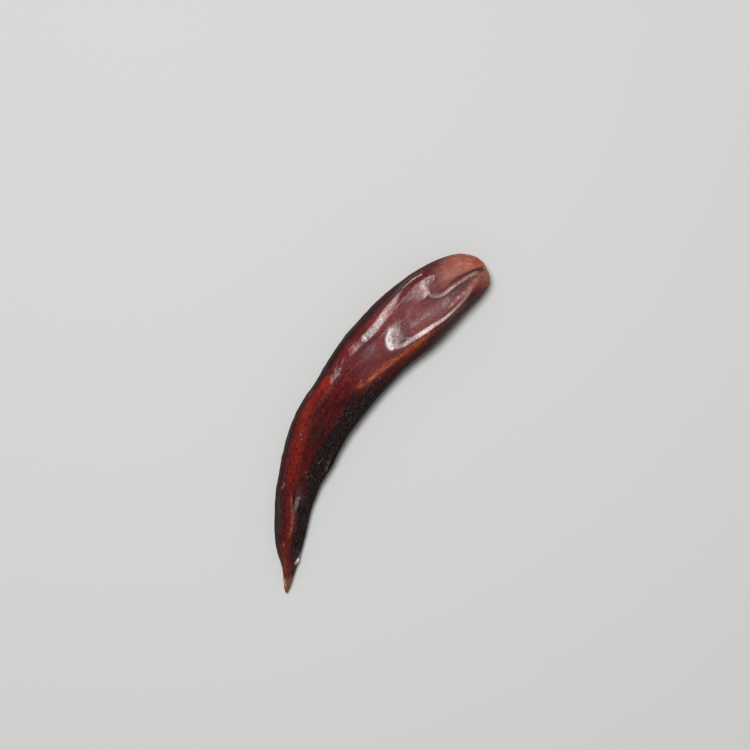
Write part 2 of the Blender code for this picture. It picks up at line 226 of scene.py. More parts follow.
# Height of the upper side, as a share of its crown, at places across the pod
# (-1 is the -Y edge, 1 the +Y edge), for the stations with these numbers.
UPPER = [
    (0, [(-.8, .62), (-.5, .90), (-.25, .98), (0, .97), (.25, .96), (.5, .88), (.8, .60)]),
    (2, [(-.9, .46), (-.8, .66), (-.6, .87), (-.4, .97), (-.2, .97), (0, .92), (.2, .90),
         (.4, .90), (.55, .87), (.68, .77), (.8, .61), (.9, .43)]),
    (4, [(-.9, .46), (-.8, .67), (-.65, .85), (-.5, .93), (-.38, .95), (-.25, .93), (-.1, .86),
         (.05, .84), (.25, .83), (.45, .87), (.60, .91), (.70, .92), (.78, .84), (.85, .66), (.92, .42)]),
    (5, [(-.92, .44), (-.83, .67), (-.72, .82), (-.55, .905), (-.40, .94), (-.25, .92), (-.1, .86),
         (.07, .82), (.28, .82), (.48, .87), (.64, .93), (.74, .935), (.80, .82), (.87, .60), (.93, .40)]),
    (6, [(-.92, .46), (-.84, .69), (-.76, .82), (-.60, .885), (-.42, .925), (-.25, .905), (-.1, .86),
         (.1, .81), (.3, .79), (.48, .84), (.62, .93), (.72, .945), (.78, .85), (.86, .63), (.92, .43)]),
    (7, [(-.92, .46), (-.84, .70), (-.75, .84), (-.60, .90), (-.44, .925), (-.28, .89), (-.1, .84),
         (.1, .80), (.3, .81), (.44, .87), (.55, .935), (.65, .95), (.72, .86), (.82, .64), (.90, .45)]),
    (8, [(-.92, .47), (-.82, .72), (-.73, .87), (-.58, .925), (-.46, .93), (-.3, .88), (-.1, .82),
         (.1, .79), (.3, .82), (.40, .89), (.49, .945), (.59, .955), (.66, .86), (.77, .67), (.88, .46)]),
    (9.1, [(-.9, .49), (-.8, .70), (-.68, .885), (-.56, .935), (-.44, .945), (-.3, .87), (-.14, .83),
           (.0, .895), (.14, .925), (.30, .955), (.44, .94), (.52, .86), (.62, .75), (.74, .60), (.86, .42)]),
    (9.8, [(-.9, .48), (-.8, .69), (-.68, .88), (-.56, .935), (-.44, .95), (-.3, .885), (-.14, .85),
           (.0, .895), (.14, .920), (.28, .935), (.40, .90), (.5, .82), (.6, .73), (.72, .58), (.85, .39)]),
    (11, [(-.9, .47), (-.8, .69), (-.69, .88), (-.58, .935), (-.46, .95), (-.3, .89), (-.1, .83),
          (.1, .78), (.3, .72), (.45, .67), (.54, .63), (.66, .49), (.8, .34), (.9, .23)]),
    (13, [(-.9, .47), (-.8, .67), (-.7, .82), (-.6, .915), (-.5, .96), (-.4, .965), (-.2, .91), (0, .80),
          (.2, .71), (.38, .61), (.5, .53), (.65, .40), (.8, .29), (.9, .20)]),
    (15, [(-.9, .48), (-.8, .67), (-.7, .80), (-.6, .895), (-.48, .965), (-.36, .985), (-.2, .925), (0, .80),
          (.2, .67), (.35, .58), (.5, .49), (.65, .39), (.8, .28), (.9, .19)]),
    (17, [(-.9, .47), (-.8, .65), (-.65, .83), (-.5, .94), (-.38, .985), (-.25, .97), (-.1, .88),
          (.1, .73), (.3, .59), (.5, .46), (.65, .36), (.8, .26), (.9, .18)]),
    (20, [(-.9, .46), (-.8, .65), (-.65, .83), (-.5, .93), (-.34, 1.0), (-.2, .97), (-.05, .88),
          (.12, .75), (.3, .61), (.5, .47), (.65, .37), (.8, .26), (.9, .18)]),
    (22, [(-.9, .41), (-.8, .53), (-.6, .71), (-.4, .83), (-.2, .94), (-.05, 1.0), (.1, .94),
          (.3, .77), (.5, .58), (.7, .39), (.85, .25)]),
    (24, [(-.9, .44), (-.8, .58), (-.6, .78), (-.4, .92), (-.22, 1.0), (-.05, .93), (.15, .79),
          (.35, .65), (.55, .50), (.75, .34), (.88, .22)]),
    (26, [(-.9, .62), (-.8, .84), (-.68, 1.0), (-.5, .94), (-.2, .83), (0, .76), (.2, .69),
          (.4, .62), (.58, .60), (.72, .57), (.84, .43), (.92, .28)]),
    (28, [(-.8, .72), (-.5, .90), (-.25, .84), (0, .78), (.25, .84), (.5, .80), (.8, .52)]),
    (30, [(-.8, .60), (-.5, .88), (-.2, .98), (0, 1.0), (.2, .98), (.5, .88), (.8, .60)]),
]


def soft_curve(x, knots, values):
    """Smooth interpolation that doesn't overshoot between its points."""
    knots, values = np.asarray(knots, float), np.asarray(values, float)
    step = np.diff(knots)
    slope = np.diff(values) / step
    tangent = np.zeros(len(knots))
    same = slope[:-1] * slope[1:] > 0
    w1, w2 = 2 * step[1:] + step[:-1], step[1:] + 2 * step[:-1]
    tangent[1:-1][same] = ((w1 + w2)[same]
                           / (w1[same] / slope[:-1][same] + w2[same] / slope[1:][same]))
    tangent[0], tangent[-1] = slope[0], slope[-1]
    i = np.clip(np.searchsorted(knots, x) - 1, 0, len(knots) - 2)
    f = (x - knots[i]) / step[i]
    return ((2 * f ** 3 - 3 * f ** 2 + 1) * values[i] + (f ** 3 - 2 * f ** 2 + f) * step[i] * tangent[i]
            + (3 * f ** 2 - 2 * f ** 3) * values[i + 1] + (f ** 3 - f ** 2) * step[i] * tangent[i + 1])


_q = np.linspace(-math.pi / 2, math.pi / 2, 181)


def upper_table():
    """Upper side heights on an even net: fraction of the length by angle."""
    rows = []
    for _, points in UPPER:
        at = [-math.pi / 2] + [math.asin(l) for l, _ in points] + [math.pi / 2]
        rows.append(soft_curve(_q, at, [0.0] + [h for _, h in points] + [0.0]))
    rows = np.array(rows)
    numbers = np.arange(len(STATION_AT))
    fractions = np.interp([k for k, _ in UPPER], numbers, STATION_AT) / LENGTH
    fine = np.linspace(0.0, 1.0, 201)
    net = np.stack([soft_curve(fine, fractions, rows[:, k]) for k in range(len(_q))], -1)
    across = np.exp(-0.5 * ((_q[:, None] - _q[None, :]) / math.radians(3.2)) ** 2)
    across /= across.sum(axis=1, keepdims=True)
    blurred = net @ across.T
    edge = ease((math.pi / 2 - np.abs(_q)) / math.radians(14))
    return net * (1.0 - edge) + blurred * edge


UPPER_NET = upper_table()


def upper_height(fraction, angle):
    fi = np.clip(fraction, 0.0, 1.0) * (UPPER_NET.shape[0] - 1)
    qi = (np.clip(angle, -math.pi / 2, math.pi / 2) / math.pi + 0.5) * (len(_q) - 1)
    f0 = np.minimum(fi.astype(int), UPPER_NET.shape[0] - 2)
    q0 = np.minimum(qi.astype(int), len(_q) - 2)
    ff, qf = fi - f0, qi - q0
    return ((UPPER_NET[f0, q0] * (1 - qf) + UPPER_NET[f0, q0 + 1] * qf) * (1 - ff)
            + (UPPER_NET[f0 + 1, q0] * (1 - qf) + UPPER_NET[f0 + 1, q0 + 1] * qf) * ff)


# round the unit section: angle against arc length, measured from the top,
# positive towards the +Y side
_t = np.linspace(-math.pi, math.pi, 1441)


def outline(angle_from_top):
    """Unit section: across -1..1 and up -1..1; angle 0 is the top."""
    sn, cs = np.sin(angle_from_top), np.cos(angle_from_top)
    across = np.sign(sn) * np.abs(sn) ** 0.95
    up = np.sign(cs) * np.abs(cs) ** np.where(cs > 0, 0.86, 0.80)
    return across, up


_a, _u = outline(_t)
_len = np.concatenate(([0.0], np.cumsum(np.hypot(np.diff(_a), 0.78 * np.diff(_u)))))
_len = _len - np.interp(0.0, _t, _len)
GIRTH = _len[-1] - _len[0]


def arc_of(angle):
    return np.interp(angle, _t, _len)


def angle_of(arc):
    return np.interp(arc, _len, _t)


# vertex grid of the flank: S along the pod, A round the section
_k = np.linspace(0.0, 1.0, RINGS)
S1 = LENGTH * (0.80 * _k + 0.20 * (0.5 - 0.5 * np.cos(math.pi * _k)))
_p = np.linspace(0.0, 1.0, AROUND, endpoint=False)
A1 = angle_of(_len[0] + GIRTH * (_p + 0.42 * np.sin(2.0 * math.pi * _p) / (2.0 * math.pi)))
S, A = np.meshgrid(S1, A1, indexing="ij")
CENTRE, ACROSS, HALF_H = section(S)
HALF_W = np.linalg.norm(ACROSS, axis=-1)
W = arc_of(A) * HALF_W              # unrolled distance from the top line, mm
F = S / LENGTH                      # fraction of the length
DEG = 90.0 - np.degrees(A)          # 0 on the +Y side, 90 top, 180 on the -Y side
# straightened pod, for patterns that follow the skin
STRAIGHT = np.stack([S, HALF_W * np.sin(A), HALF_W * np.cos(A)], -1)


def on_skin(points):
    """Plan grid points on the upper side to (s, unrolled distance)."""
    out = []
    tracks_c, tracks_a, _ = section(ARC)
    for u, v in points:
        p = plan(u, v)
        rel = p - tracks_c[:, :2]
        width2 = (tracks_a ** 2).sum(-1)
        share = (rel * tracks_a).sum(-1) / width2
        off = rel[:, 0] * tracks_a[:, 1] - rel[:, 1] * tracks_a[:, 0]
        off = off / np.sqrt(width2)
        cross = np.where(np.sign(off[:-1]) != np.sign(off[1:]))[0]
        if len(cross):
            best = cross[np.argmin(np.abs(np.clip(share[cross], -9, 9)))]
            f = off[best] / (off[best] - off[best + 1])
            s = ARC[best] + f * (ARC[best + 1] - ARC[best])
            l = share[best] + f * (share[best + 1] - share[best])
        else:
            best = int(np.argmin(np.abs(off)))
            s, l = ARC[best], share[best]
        l = float(np.clip(l, -0.985, 0.985))
        # height of the outline over that place: invert the across function
        angle = math.copysign(math.asin(min(1.0, abs(l) ** (1 / 0.95))), l)
        half = float(np.linalg.norm(section(s)[1]))
        out.append((s, float(arc_of(angle)) * half))
    return np.array(out)


def along_curve(points, raw=False, smooth=4):
    """Distance to a curve drawn on the skin: (distance, signed side, run 0..1).

    The side is positive to the +Y side of a curve drawn from stem to tip.
    """
    p = np.array(points, float) if raw else on_skin(points)
    if smooth > 1 and len(p) > 2:
        knots = np.concatenate(([0.0], np.cumsum(np.linalg.norm(np.diff(p, axis=0), axis=1))))
        t = np.linspace(0.0, knots[-1], (len(p) - 1) * smooth + 1)
        p = np.stack([natural_spline(knots, p[:, 0])(t), natural_spline(knots, p[:, 1])(t)], -1)
    seg = np.linalg.norm(np.diff(p, axis=0), axis=1)
    total = seg.sum()
    best = np.full(S.shape, 1e9)
    side = np.zeros(S.shape)
    run = np.zeros(S.shape)
    start = 0.0
    for a, b, length in zip(p[:-1], p[1:], seg):
        d = (b - a) / max(length, 1e-9)
        rs, rw = S - a[0], W - a[1]
        t = np.clip(rs * d[0] + rw * d[1], 0.0, length)
        dist = np.hypot(rs - t * d[0], rw - t * d[1])
        sgn = rw * d[0] - rs * d[1]
        closer = dist < best
        best = np.where(closer, dist, best)
        side = np.where(closer, np.sign(sgn) * dist, side)
        run = np.where(closer, (start + t) / total, run)
        start += length
    return best, side, run


def taper(run, low=0.12, high=0.12):
    out = np.ones_like(run)
    if low > 0:
        out = out * ease(run / low)
    if high > 0:
        out = out * ease((1.0 - run) / high)
    return out


def bell(d, width):
    return np.exp(-(d / width) ** 2)


def near(point, width, stretch=1.0, turn=0.0):
    """Soft spot round a plan grid point, 1 in the middle."""
    s0, w0 = on_skin([point])[0]
    ds, dw = S - s0, W - w0
    c, n = math.cos(turn), math.sin(turn)
    a, b = ds * c + dw * n, -ds * n + dw * c
    return np.exp(-((a / (width * stretch)) ** 2 + (b / width) ** 2))


# ------------------------------------------------------------ shape of skin
D = np.zeros(S.shape)           # how far the skin stands out, mm
size_here = np.clip(HALF_W / 8.0, 0.0, 1.0)

# crests that sharpen the pod's cross-section
R2 = [(462, 261), (440, 266), (424, 274), (412, 282), (400, 293.5), (388, 308), (378, 321),
      (368, 334), (358, 343.5), (350, 351), (341, 362), (331, 377), (318, 396),
      (307, 417), (300, 440), (294.5, 461), (290.5, 480), (290, 495)]
R1 = [(477, 287), (468, 298), (460.5, 305), (453.5, 312), (446.5, 319), (439.5, 324.2),
      (432.3, 329.3), (425, 334.2), (417.5, 338.8), (410, 343), (401.5, 347.5), (394, 350.5)]
K2 = [(430, 333), (424, 340), (418, 345.5), (409, 351.5), (400, 357.5), (390, 365),
      (380, 373), (371, 380), (362, 386.5), (352, 394), (343, 403), (335, 414)]
C1 = [(296, 461), (292.5, 478), (291.6, 494), (291.7, 505), (292, 516), (291, 528), (288.4, 538),
      (285.6, 548), (284.6, 558), (285, 568), (286, 578), (286.6, 586)]

d2, side2, run2 = along_curve(R2)
D += 0.06 * bell(d2, 1.9) * taper(run2, 0.10, 0.60) * size_here

d1, side1, run1 = along_curve(R1)
D += 0.10 * bell(side1, 1.3) * np.exp(-(d1 / 3.0) ** 4) * taper(run1, 0.16, 0.06)

dk, sidek, runk = along_curve(K2)
D += 0.24 * np.exp(-np.sqrt(dk ** 2 + 0.05) / np.where(sidek > 0, 1.1, 0.55)) * taper(runk, 0.10, 0.30)
D -= 0.34 * bell(sidek - 2.4, 1.7) * taper(runk, 0.12, 0.25)

dc, sidec, runc = along_curve(C1)
D += 0.50 * np.exp(-np.sqrt(dc ** 2 + 0.03) / 0.95) * taper(runc, 0.16, 0.05) \
    * np.clip(HALF_W / 5.0, 0.15, 1.0)
D -= 0.28 * bell(sidec - 2.2, 1.4) * taper(runc, 0.16, 0.25) * np.clip(HALF_W / 5.0, 0.1, 1.0)
D -= 0.20 * bell(sidec + 2.0, 1.1) * taper(runc, 0.16, 0.25) * np.clip(HALF_W / 5.0, 0.1, 1.0)

# sunken panel between the two crests, closed towards the tip by a hooked rim
PANEL = [(452, 299), (444, 303), (434, 309), (422, 316.5), (412, 323)]
dp, sidep, runp = along_curve(PANEL)
panel = bell(dp, 2.3) ** 0.8
D -= 0.20 * panel * taper(runp, 0.0, 0.25)
BLOCK = [(395, 348), (391, 342), (389, 335), (389, 329)]
dh, sideh, runh = along_curve(BLOCK)
hook = bell(dh, 2.0) * taper(runh, 0.0, 0.25)

# folds at the stem end: the raised lobe, the valley under it and thin crests
LOBE = [(486, 263), (478, 263), (468, 265), (457, 269.5), (447, 275.5), (438.5, 282), (436, 286.5)]
LOBE_EDGE = [(486.5, 267), (480, 268.8), (472, 271.6), (463.6, 275.4), (456.4, 279), (451.5, 282.5),
             (445.5, 289), (439.5, 293), (433.8, 293.8), (430, 290.3), (430, 285.5), (432.5, 278)]
dl, sidel, runl = along_curve(LOBE)
lobe = 1.0 - ease((dl - 1.1) / 2.5)
D += 0.20 * lobe
de, sidee, rune = along_curve(LOBE_EDGE)
step = 0.5 + 0.5 * np.tanh(sidee / 0.50)
fall = np.exp(-(de / 1.7) ** 2) * taper(rune, 0.03, 0.34)
D -= 0.50 * step * fall
D += 0.12 * bell(sidee + 0.8, 0.7) * taper(rune, 0.05, 0.34)
VALLEY = [(486, 268.3), (479, 270.9), (471, 274), (463, 278.4), (456, 283), (450, 288)]
dv, sidev, runv = along_curve(VALLEY)
D -= 0.42 * bell(dv, 0.62 + 0.25 * ease(runv)) * taper(runv, 0.05, 0.35)
THIN = [(481, 271.8), (475, 273.9), (469, 276.8), (463.6, 280), (455, 285.8), (448, 291.4),
        (442, 295.7), (436, 297.4), (430, 296.4), (426.6, 292), (425.5, 286)]
dt, sidet, runt = along_curve(THIN)
D += 0.36 * bell(dt, 0.55) * taper(runt, 0.10, 0.22)
R3 = [(487, 269.8), (481, 274), (475, 280.7), (469.3, 288.5), (463.6, 294), (457, 299), (450, 304.5),
      (441, 311)]
d3, side3, run3 = along_curve(R3)
D += 0.34 * bell(d3, 0.85) * taper(run3, 0.04, 0.45)
TROUGH = [(482, 272.6), (475, 276), (468, 281), (460, 287.5), (452, 294), (445, 300)]
dtr, _, rtr = along_curve(TROUGH)
D -= 0.16 * bell(dtr, 0.7) * taper(rtr, 0.10, 0.35)
GROOVE = [(470, 289.5), (462, 297.5), (455, 304.6), (449, 310), (444, 313.8), (438, 318.4),
          (429, 325), (421, 330.5), (413, 336)]
dg, sideg, rung = along_curve(GROOVE)
D -= 0.20 * bell(dg, 0.45) * taper(rung, 0.20, 0.30)
# blotched plateau past the lobe's rounded end
plateau = np.maximum(near((419, 291), 2.6, 1.7, 0.2), 0.8 * near((424, 283), 1.8, 1.4))
D += 0.22 * plateau
SIDE_LINE = [(430, 274), (426.5, 275.8), (421, 278.5), (415.5, 282.4), (409.5, 288.3), (405, 294), (400, 302)]
dsl, _, rsl = along_curve(SIDE_LINE)
D -= 0.16 * bell(dsl, 0.5) * taper(rsl, 0.2, 0.3)
# small pits and the rust-coloured dimple
rust = ease(near((475.5, 263.4), 1.5, 1.15) * 1.6 - 0.35)
D -= 0.20 * rust
specks = np.zeros(S.shape)
for spot, width in (((401, 319.5), 0.46), ((404, 317.2), 0.34), ((398.5, 322.5), 0.40),
                    ((405.4, 321.4), 0.30), ((402.3, 324.4), 0.30), ((397, 317.6), 0.26)):
    specks = np.maximum(specks, near(spot, width))
D -= 0.10 * specks

# thin wrinkles of the lower half
WRINKLES = [
    ([(302, 473.5), (307, 471), (312.5, 470), (317, 465), (321, 460), (327, 455)], 0.15, 0.34),
    ([(339, 450), (334, 461), (327, 473), (319, 487)], 0.16, 0.30),
    ([(334.5, 447), (330, 458.5), (324, 470), (316, 482)], 0.13, 0.28),
    ([(352, 398), (345, 410), (336, 424), (328, 440), (323, 455)], 0.12, 0.40),
    ([(341, 396), (333, 408), (325, 422), (318, 438), (313, 452)], -0.13, 0.42),
    ([(364, 356), (354, 366), (345, 378), (336, 392), (328, 406)], -0.12, 0.55),
    ([(384, 346), (375, 358), (365, 368), (356, 378)], -0.10, 0.60),
    ([(300, 494), (302, 505), (301, 520), (298.5, 534)], 0.13, 0.34),
    ([(305, 497), (306.5, 510), (305, 523)], -0.12, 0.34),
    ([(281.8, 492), (280.4, 510), (280.6, 528), (282, 545)], 0.14, 0.36),
    ([(297.4, 551), (297.6, 558), (296, 566)], 0.34, 0.45),
    ([(290.8, 562), (289.2, 569), (290.2, 577), (289.6, 586)], 0.20, 0.26),
    ([(283.8, 574), (284.2, 582), (285.2, 590)], 0.16, 0.24),
]
for points, height, width in WRINKLES:
    dw_, _, rw_ = along_curve(points)
    D += height * bell(dw_, width) * taper(rw_, 0.2, 0.25)

# folds of the sides and the underside: where round the section they start and
# end (degrees), half-width mm, height mm, and stretch of the length
HIDDEN_FOLDS = [
    (340, 346, 1.6, 0.42, 0.03, 0.62),
    (318, 322, 1.7, -0.70, 0.06, 0.70),
    (292, 300, 1.5, 0.30, 0.05, 0.55),
    (246, 250, 1.5, -0.72, 0.05, 0.52),
    (214, 220, 1.9, 0.48, 0.04, 0.60),
    (186, 196, 1.2, -0.30, 0.02, 0.38),
    (172, 166, 1.2, -0.22, 0.30, 0.72),
    (350, 332, 1.3, -0.32, 0.42, 0.93),
    (232, 222, 1.2, -0.40, 0.50, 0.95),
    (300, 290, 1.0, 0.25, 0.60, 0.97),
    (206, 200, 0.9, 0.24, 0.62, 0.96),
]
for first, last, width, height, low, high in HIDDEN_FOLDS:
    at = first + (last - first) * ease((F - low) / (high - low))
    at = at + 5.0 * noise3(np.stack([S * 0.09, np.full(S.shape, float(first)), A * 0.0], -1), 5)
    away = (DEG - at + 180.0) % 360.0 - 180.0
    away_mm = np.radians(away) * HALF_W * 0.92
    D += height * bell(away_mm, width * np.clip(HALF_W / 8, 0.35, 1)) \
        * window(F, low, high, 0.09) * np.clip(HALF_W / 8.0, 0.15, 1.0)

# pleats that gather the skin where the stem was
top_side = ease((np.cos(A) - 0.05) / 0.5)       # the folds drawn above stay clear
pleats = np.zeros(S.shape)
for k, (at, depth, reach, width) in enumerate((
        (8, 0.50, 10.0, 9.0), (-18, 0.34, 7.0, 7.0), (-43, 0.55, 12.0, 9.0),
        (-72, 0.38, 7.5, 8.0), (-98, 0.52, 10.5, 9.0), (-126, 0.36, 8.0, 7.0),
        (-152, 0.50, 11.0, 9.0), (-178, 0.36, 8.0, 8.0), (150, 0.34, 7.5, 8.0))):
    away = (DEG - at - 0.5 * S * ((k % 3) - 1) + 180.0) % 360.0 - 180.0
    pleats -= depth * np.exp(-(away / width) ** 2) * np.exp(-(S / reach) ** 2)
    near_side = np.exp(-((np.abs(away) - 1.7 * width) / width) ** 2)
    pleats += 0.35 * depth * near_side * np.exp(-(S / reach) ** 2)
D += pleats * (1.0 - 0.92 * top_side) * ease(0.25 + S / 2.0)

SHAPED = D.copy()

# slow swells, lengthwise wrinkles and fine leathery unevenness
D = np.zeros(S.shape)
low_area = ease((F - 0.40) / 0.2)
shade_side = ease((W / HALF_W - 0.55) / 0.5)
hidden = 1.0 - ease((np.cos(A) + 0.15) / 0.5)
rough_place = np.clip(0.30 + 0.35 * low_area + 0.5 * shade_side * low_area + 0.75 * hidden, 0, 1.3)
fade_tip = np.clip(HALF_W / 6.0, 0.08, 1.0)
D += 0.22 * layered(STRAIGHT * np.array([0.055, 0.11, 0.11]), 11, 2) * fade_tip
long_wr = 1.0 - np.abs(layered(STRAIGHT * np.array([0.075, 0.36, 0.36])
                               + 0.35 * noise3(STRAIGHT * 0.13, 3)[..., None], 23, 2)) * 2.2
D += 0.15 * (long_wr - 0.35) * rough_place * fade_tip
cross_wr = layered(STRAIGHT * np.array([0.42, 0.28, 0.28]), 37, 3)
D += 0.085 * cross_wr * np.clip(0.55 + 0.6 * rough_place, 0, 1.2) * fade_tip
fine = layered(STRAIGHT * np.array([0.75, 1.25, 1.25]), 51, 2)
D += 0.040 * fine * np.clip(0.7 + 0.5 * rough_place, 0, 1.2) * np.clip(HALF_W / 4.0, 0.15, 1.0)
threads = layered(STRAIGHT * np.array([0.24, 1.5, 1.5]), 61, 2)
D += 0.045 * threads * np.clip(0.35 + 0.9 * rough_place, 0, 1.2) * np.clip(HALF_W / 4.0, 0.15, 1.0)


# ----------------------------------------------------------- skin geometry
def base_points(s, a, centre, across, half_h):
    unit_across, unit_up = outline(a)
    top = np.cos(a) > 0.0
    leaning = upper_height(s / LENGTH, np.arcsin(np.clip(unit_across, -1.0, 1.0)))
    unit_up = np.where(top, leaning, unit_up)
    x = centre[..., 0] + across[..., 0] * unit_across
    y = centre[..., 1] + across[..., 1] * unit_across
    z = centre[..., 2] + half_h * unit_up
    return np.stack([x, y, z], -1)


P0 = base_points(S, A, CENTRE, ACROSS, HALF_H)
d_s = np.gradient(P0, axis=0)
d_a = np.roll(P0, -1, axis=1) - np.roll(P0, 1, axis=1)
NORMAL = np.cross(d_a, d_s)
NORMAL /= np.maximum(np.linalg.norm(NORMAL, axis=-1, keepdims=True), 1e-9)
outward = ((P0 - CENTRE) * NORMAL).sum(-1, keepdims=True)
NORMAL *= np.sign(np.median(outward))
# a little rounding of the normals keeps neighbouring offsets apart
for _ in range(6):
    NORMAL[1:-1] = (NORMAL[:-2] + 2.0 * NORMAL[1:-1] + NORMAL[2:]) / 4.0
    NORMAL = (np.roll(NORMAL, 1, axis=1) + 2.0 * NORMAL + np.roll(NORMAL, -1, axis=1)) / 4.0
NORMAL /= np.linalg.norm(NORMAL, axis=-1, keepdims=True)
P1 = P0 + NORMAL * SHAPED[..., None]

# Smooth, slightly flattened places, set square to the middle between the light
# and the eye, so that they catch the light as the worn crests do.
toward_key = KEY_AT - P1
toward_key /= np.linalg.norm(toward_key, axis=-1, keepdims=True)
toward_eye = EYE_AT - P1
toward_eye /= np.linalg.norm(toward_eye, axis=-1, keepdims=True)
halfway = toward_key + toward_eye
SLOPE_X = -halfway[..., 0] / halfway[..., 2]
SLOPE_Y = -halfway[..., 1] / halfway[..., 2]
smooth_here = np.zeros(S.shape)
HALO = np.zeros(S.shape)
SHEEN = np.zeros(S.shape)       # how polished the worn places are
ACROSS_LINE = np.zeros(S.shape)


def skin_at(s, w):
    """Point of the shaped skin at (s, unrolled distance from the top)."""
    row = np.interp(s, S1, np.arange(RINGS))
    half = float(np.linalg.norm(section(np.array(s))[1]))
    column = np.interp(float(angle_of(w / half)), A1, np.arange(AROUND))
    r, c = int(min(row, RINGS - 2)), int(min(column, AROUND - 2))
    f, g = row - r, column - c
    return ((P1[r, c] * (1 - g) + P1[r, c + 1] * g) * (1 - f)
            + (P1[r + 1, c] * (1 - g) + P1[r + 1, c + 1] * g) * f)


def worn_line(points, widths, strength, low=0.06, high=0.06, soft=0.75, calm=0.4):
    """Flatten a strip along a curve; gives how much each place belongs to it."""
    global smooth_here
    knots = on_skin(points)
    dist, side, run = along_curve(knots, raw=True)
    dense = np.linspace(0.0, 1.0, 41)
    length = np.concatenate(([0.0], np.cumsum(np.linalg.norm(np.diff(knots, axis=0), axis=1))))
    along = dense * length[-1]
    where = np.array([skin_at(np.interp(x, length, knots[:, 0]), np.interp(x, length, knots[:, 1]))
                      for x in along])
    for _ in range(3):
        where[1:-1, 2] = (where[:-2, 2] + 2 * where[1:-1, 2] + where[2:, 2]) / 4.0
    half = np.interp(run, np.linspace(0, 1, len(widths)), widths)
    middle = [np.interp(run, dense, where[:, k]) for k in range(3)]
    target = (middle[2] + SLOPE_X * (P1[..., 0] - middle[0]) + SLOPE_Y * (P1[..., 1] - middle[1]))
    member = (1.0 - ease((dist - half * (1.0 - 0.5 * soft)) / (half * soft + 1e-6))) \
        * taper(run, low, high) * np.where(np.cos(A) > 0.0, 1.0, 0.0)
    P1[..., 2] += np.clip(target - P1[..., 2], -1.0, 1.0) * member * strength
    smooth_here = np.maximum(smooth_here, member * calm)
    ACROSS_LINE[...] = dist / half
    HALO[...] = (1.0 - ease((dist - 0.6 * half) / (1.7 * half + 0.25))) * taper(run, low, high) \
        * np.where(np.cos(A) > 0.0, 1.0, 0.0)
    return member, run


def worn_patch(point, width, stretch, turn, strength, tilt=(0.0, 0.0), calm=0.3, where_=1.0):
    """Flatten a rounded patch; tilt turns it along and across the pod."""
    global smooth_here
    s0, w0 = on_skin([point])[0]
    ds, dw = S - s0, W - w0
    c, n = math.cos(turn), math.sin(turn)
    r = np.hypot((ds * c + dw * n) / (width * stretch), (-ds * n + dw * c) / width)
    member = (1.0 - ease((r - 0.55) / 0.9)) * np.where(np.cos(A) > 0.0, 1.0, 0.0) * where_
    where = skin_at(s0, w0)
    target = (where[2] + SLOPE_X * (P1[..., 0] - where[0]) + SLOPE_Y * (P1[..., 1] - where[1])
              + math.tan(math.radians(tilt[0])) * ds + math.tan(math.radians(tilt[1])) * dw)
    P1[..., 2] += np.clip(target - P1[..., 2], -0.8, 0.8) * member * strength
    smooth_here = np.maximum(smooth_here, member * calm)
    HALO[...] = (1.0 - ease((r - 0.35) / 1.5)) * np.where(np.cos(A) > 0.0, 1.0, 0.0)
    return member


def polish(member, amount, around=0.55, core=0.0):
    """Polish a worn place, less so the skin round it and most along its middle."""
    global SHEEN
    if core > 0.0:
        member = member * (1.0 - core + core * np.exp(-(ACROSS_LINE / 0.58) ** 2))
    SHEEN = np.maximum(SHEEN, np.maximum(member, HALO * around) * amount)


def splash(strokes, ragged=0.5):
    """Rounded strokes with a ragged edge, each given as (points, half width in mm)."""
    member = np.zeros(S.shape)
    for points, half in strokes:
        gap, _, _ = along_curve(points, smooth=2)
        member = np.maximum(member, 1.0 - ease((gap / half - 0.60 + ragged * fleckle
                                                + 0.6 * ragged * uneven) / 0.70))
    return member * np.where(np.cos(A) > 0.0, 1.0, 0.0)


uneven = layered(STRAIGHT * np.array([0.35, 0.5, 0.5]), 211, 3)
fleckle = layered(STRAIGHT * np.array([1.1, 1.5, 1.5]), 223, 2)
# the sunken panel and the plateau below it
m, r = worn_line([(455, 300), (445, 306), (434, 313), (421, 322)], [1.5, 2.4, 2.4, 1.8], 0.40,
                 0.40, 0.4, 1.0)
polish(m, 0.10 * ease(0.75 + 0.6 * uneven + 0.5 * fleckle), 0.55, 0.5)
m = worn_patch((445.5, 304), 1.4, 1.8, 0.2, 0.5)
polish(m, 0.17 * ease(0.7 + 1.0 * uneven + 0.8 * fleckle), 0.8)
m = worn_patch((370.5, 352.5), 3.0, 1.4, 0.2, 0.45)
polish(m, 0.20 * ease(0.60 + 1.1 * uneven + 1.3 * fleckle))
m = worn_patch((384, 345), 2.0, 1.3, 0.2, 0.35)
polish(m, 0.14 * ease(0.65 + 1.0 * uneven + 1.1 * fleckle))
# blotched sheen past the lobe's rounded end
m = worn_patch((422, 290.5), 4.1, 1.15, 0.05, 0.92, calm=0.5, where_=ease((sidee + 0.25) / 0.7))
m2 = worn_patch((430.5, 280), 1.6, 1.4, 0.5, 0.80, calm=0.5)
both = np.maximum(m, m2)
polish(splash([([(433.5, 276.8), (428.5, 280), (424, 283.5), (422, 287)], 1.05)], 0.7) * both,
       0.74 * ease(0.84 + 1.1 * uneven + 1.0 * fleckle), 0.0)
polish(splash([([(423, 286), (423.5, 292), (424.5, 298), (424.5, 303.5)], 1.1)], 0.7) * m,
       0.60 * ease(0.84 + 1.0 * uneven + 1.0 * fleckle), 0.0)
polish(splash([([(419.5, 287.5), (415, 291.5), (411, 295.5)], 0.60)], 1.0) * m,
       0.40 * ease(0.74 + 1.4 * uneven + 1.4 * fleckle), 0.0)
polish(both, 0.10 * ease(0.7 + 0.8 * uneven + 0.8 * fleckle), 0.0)
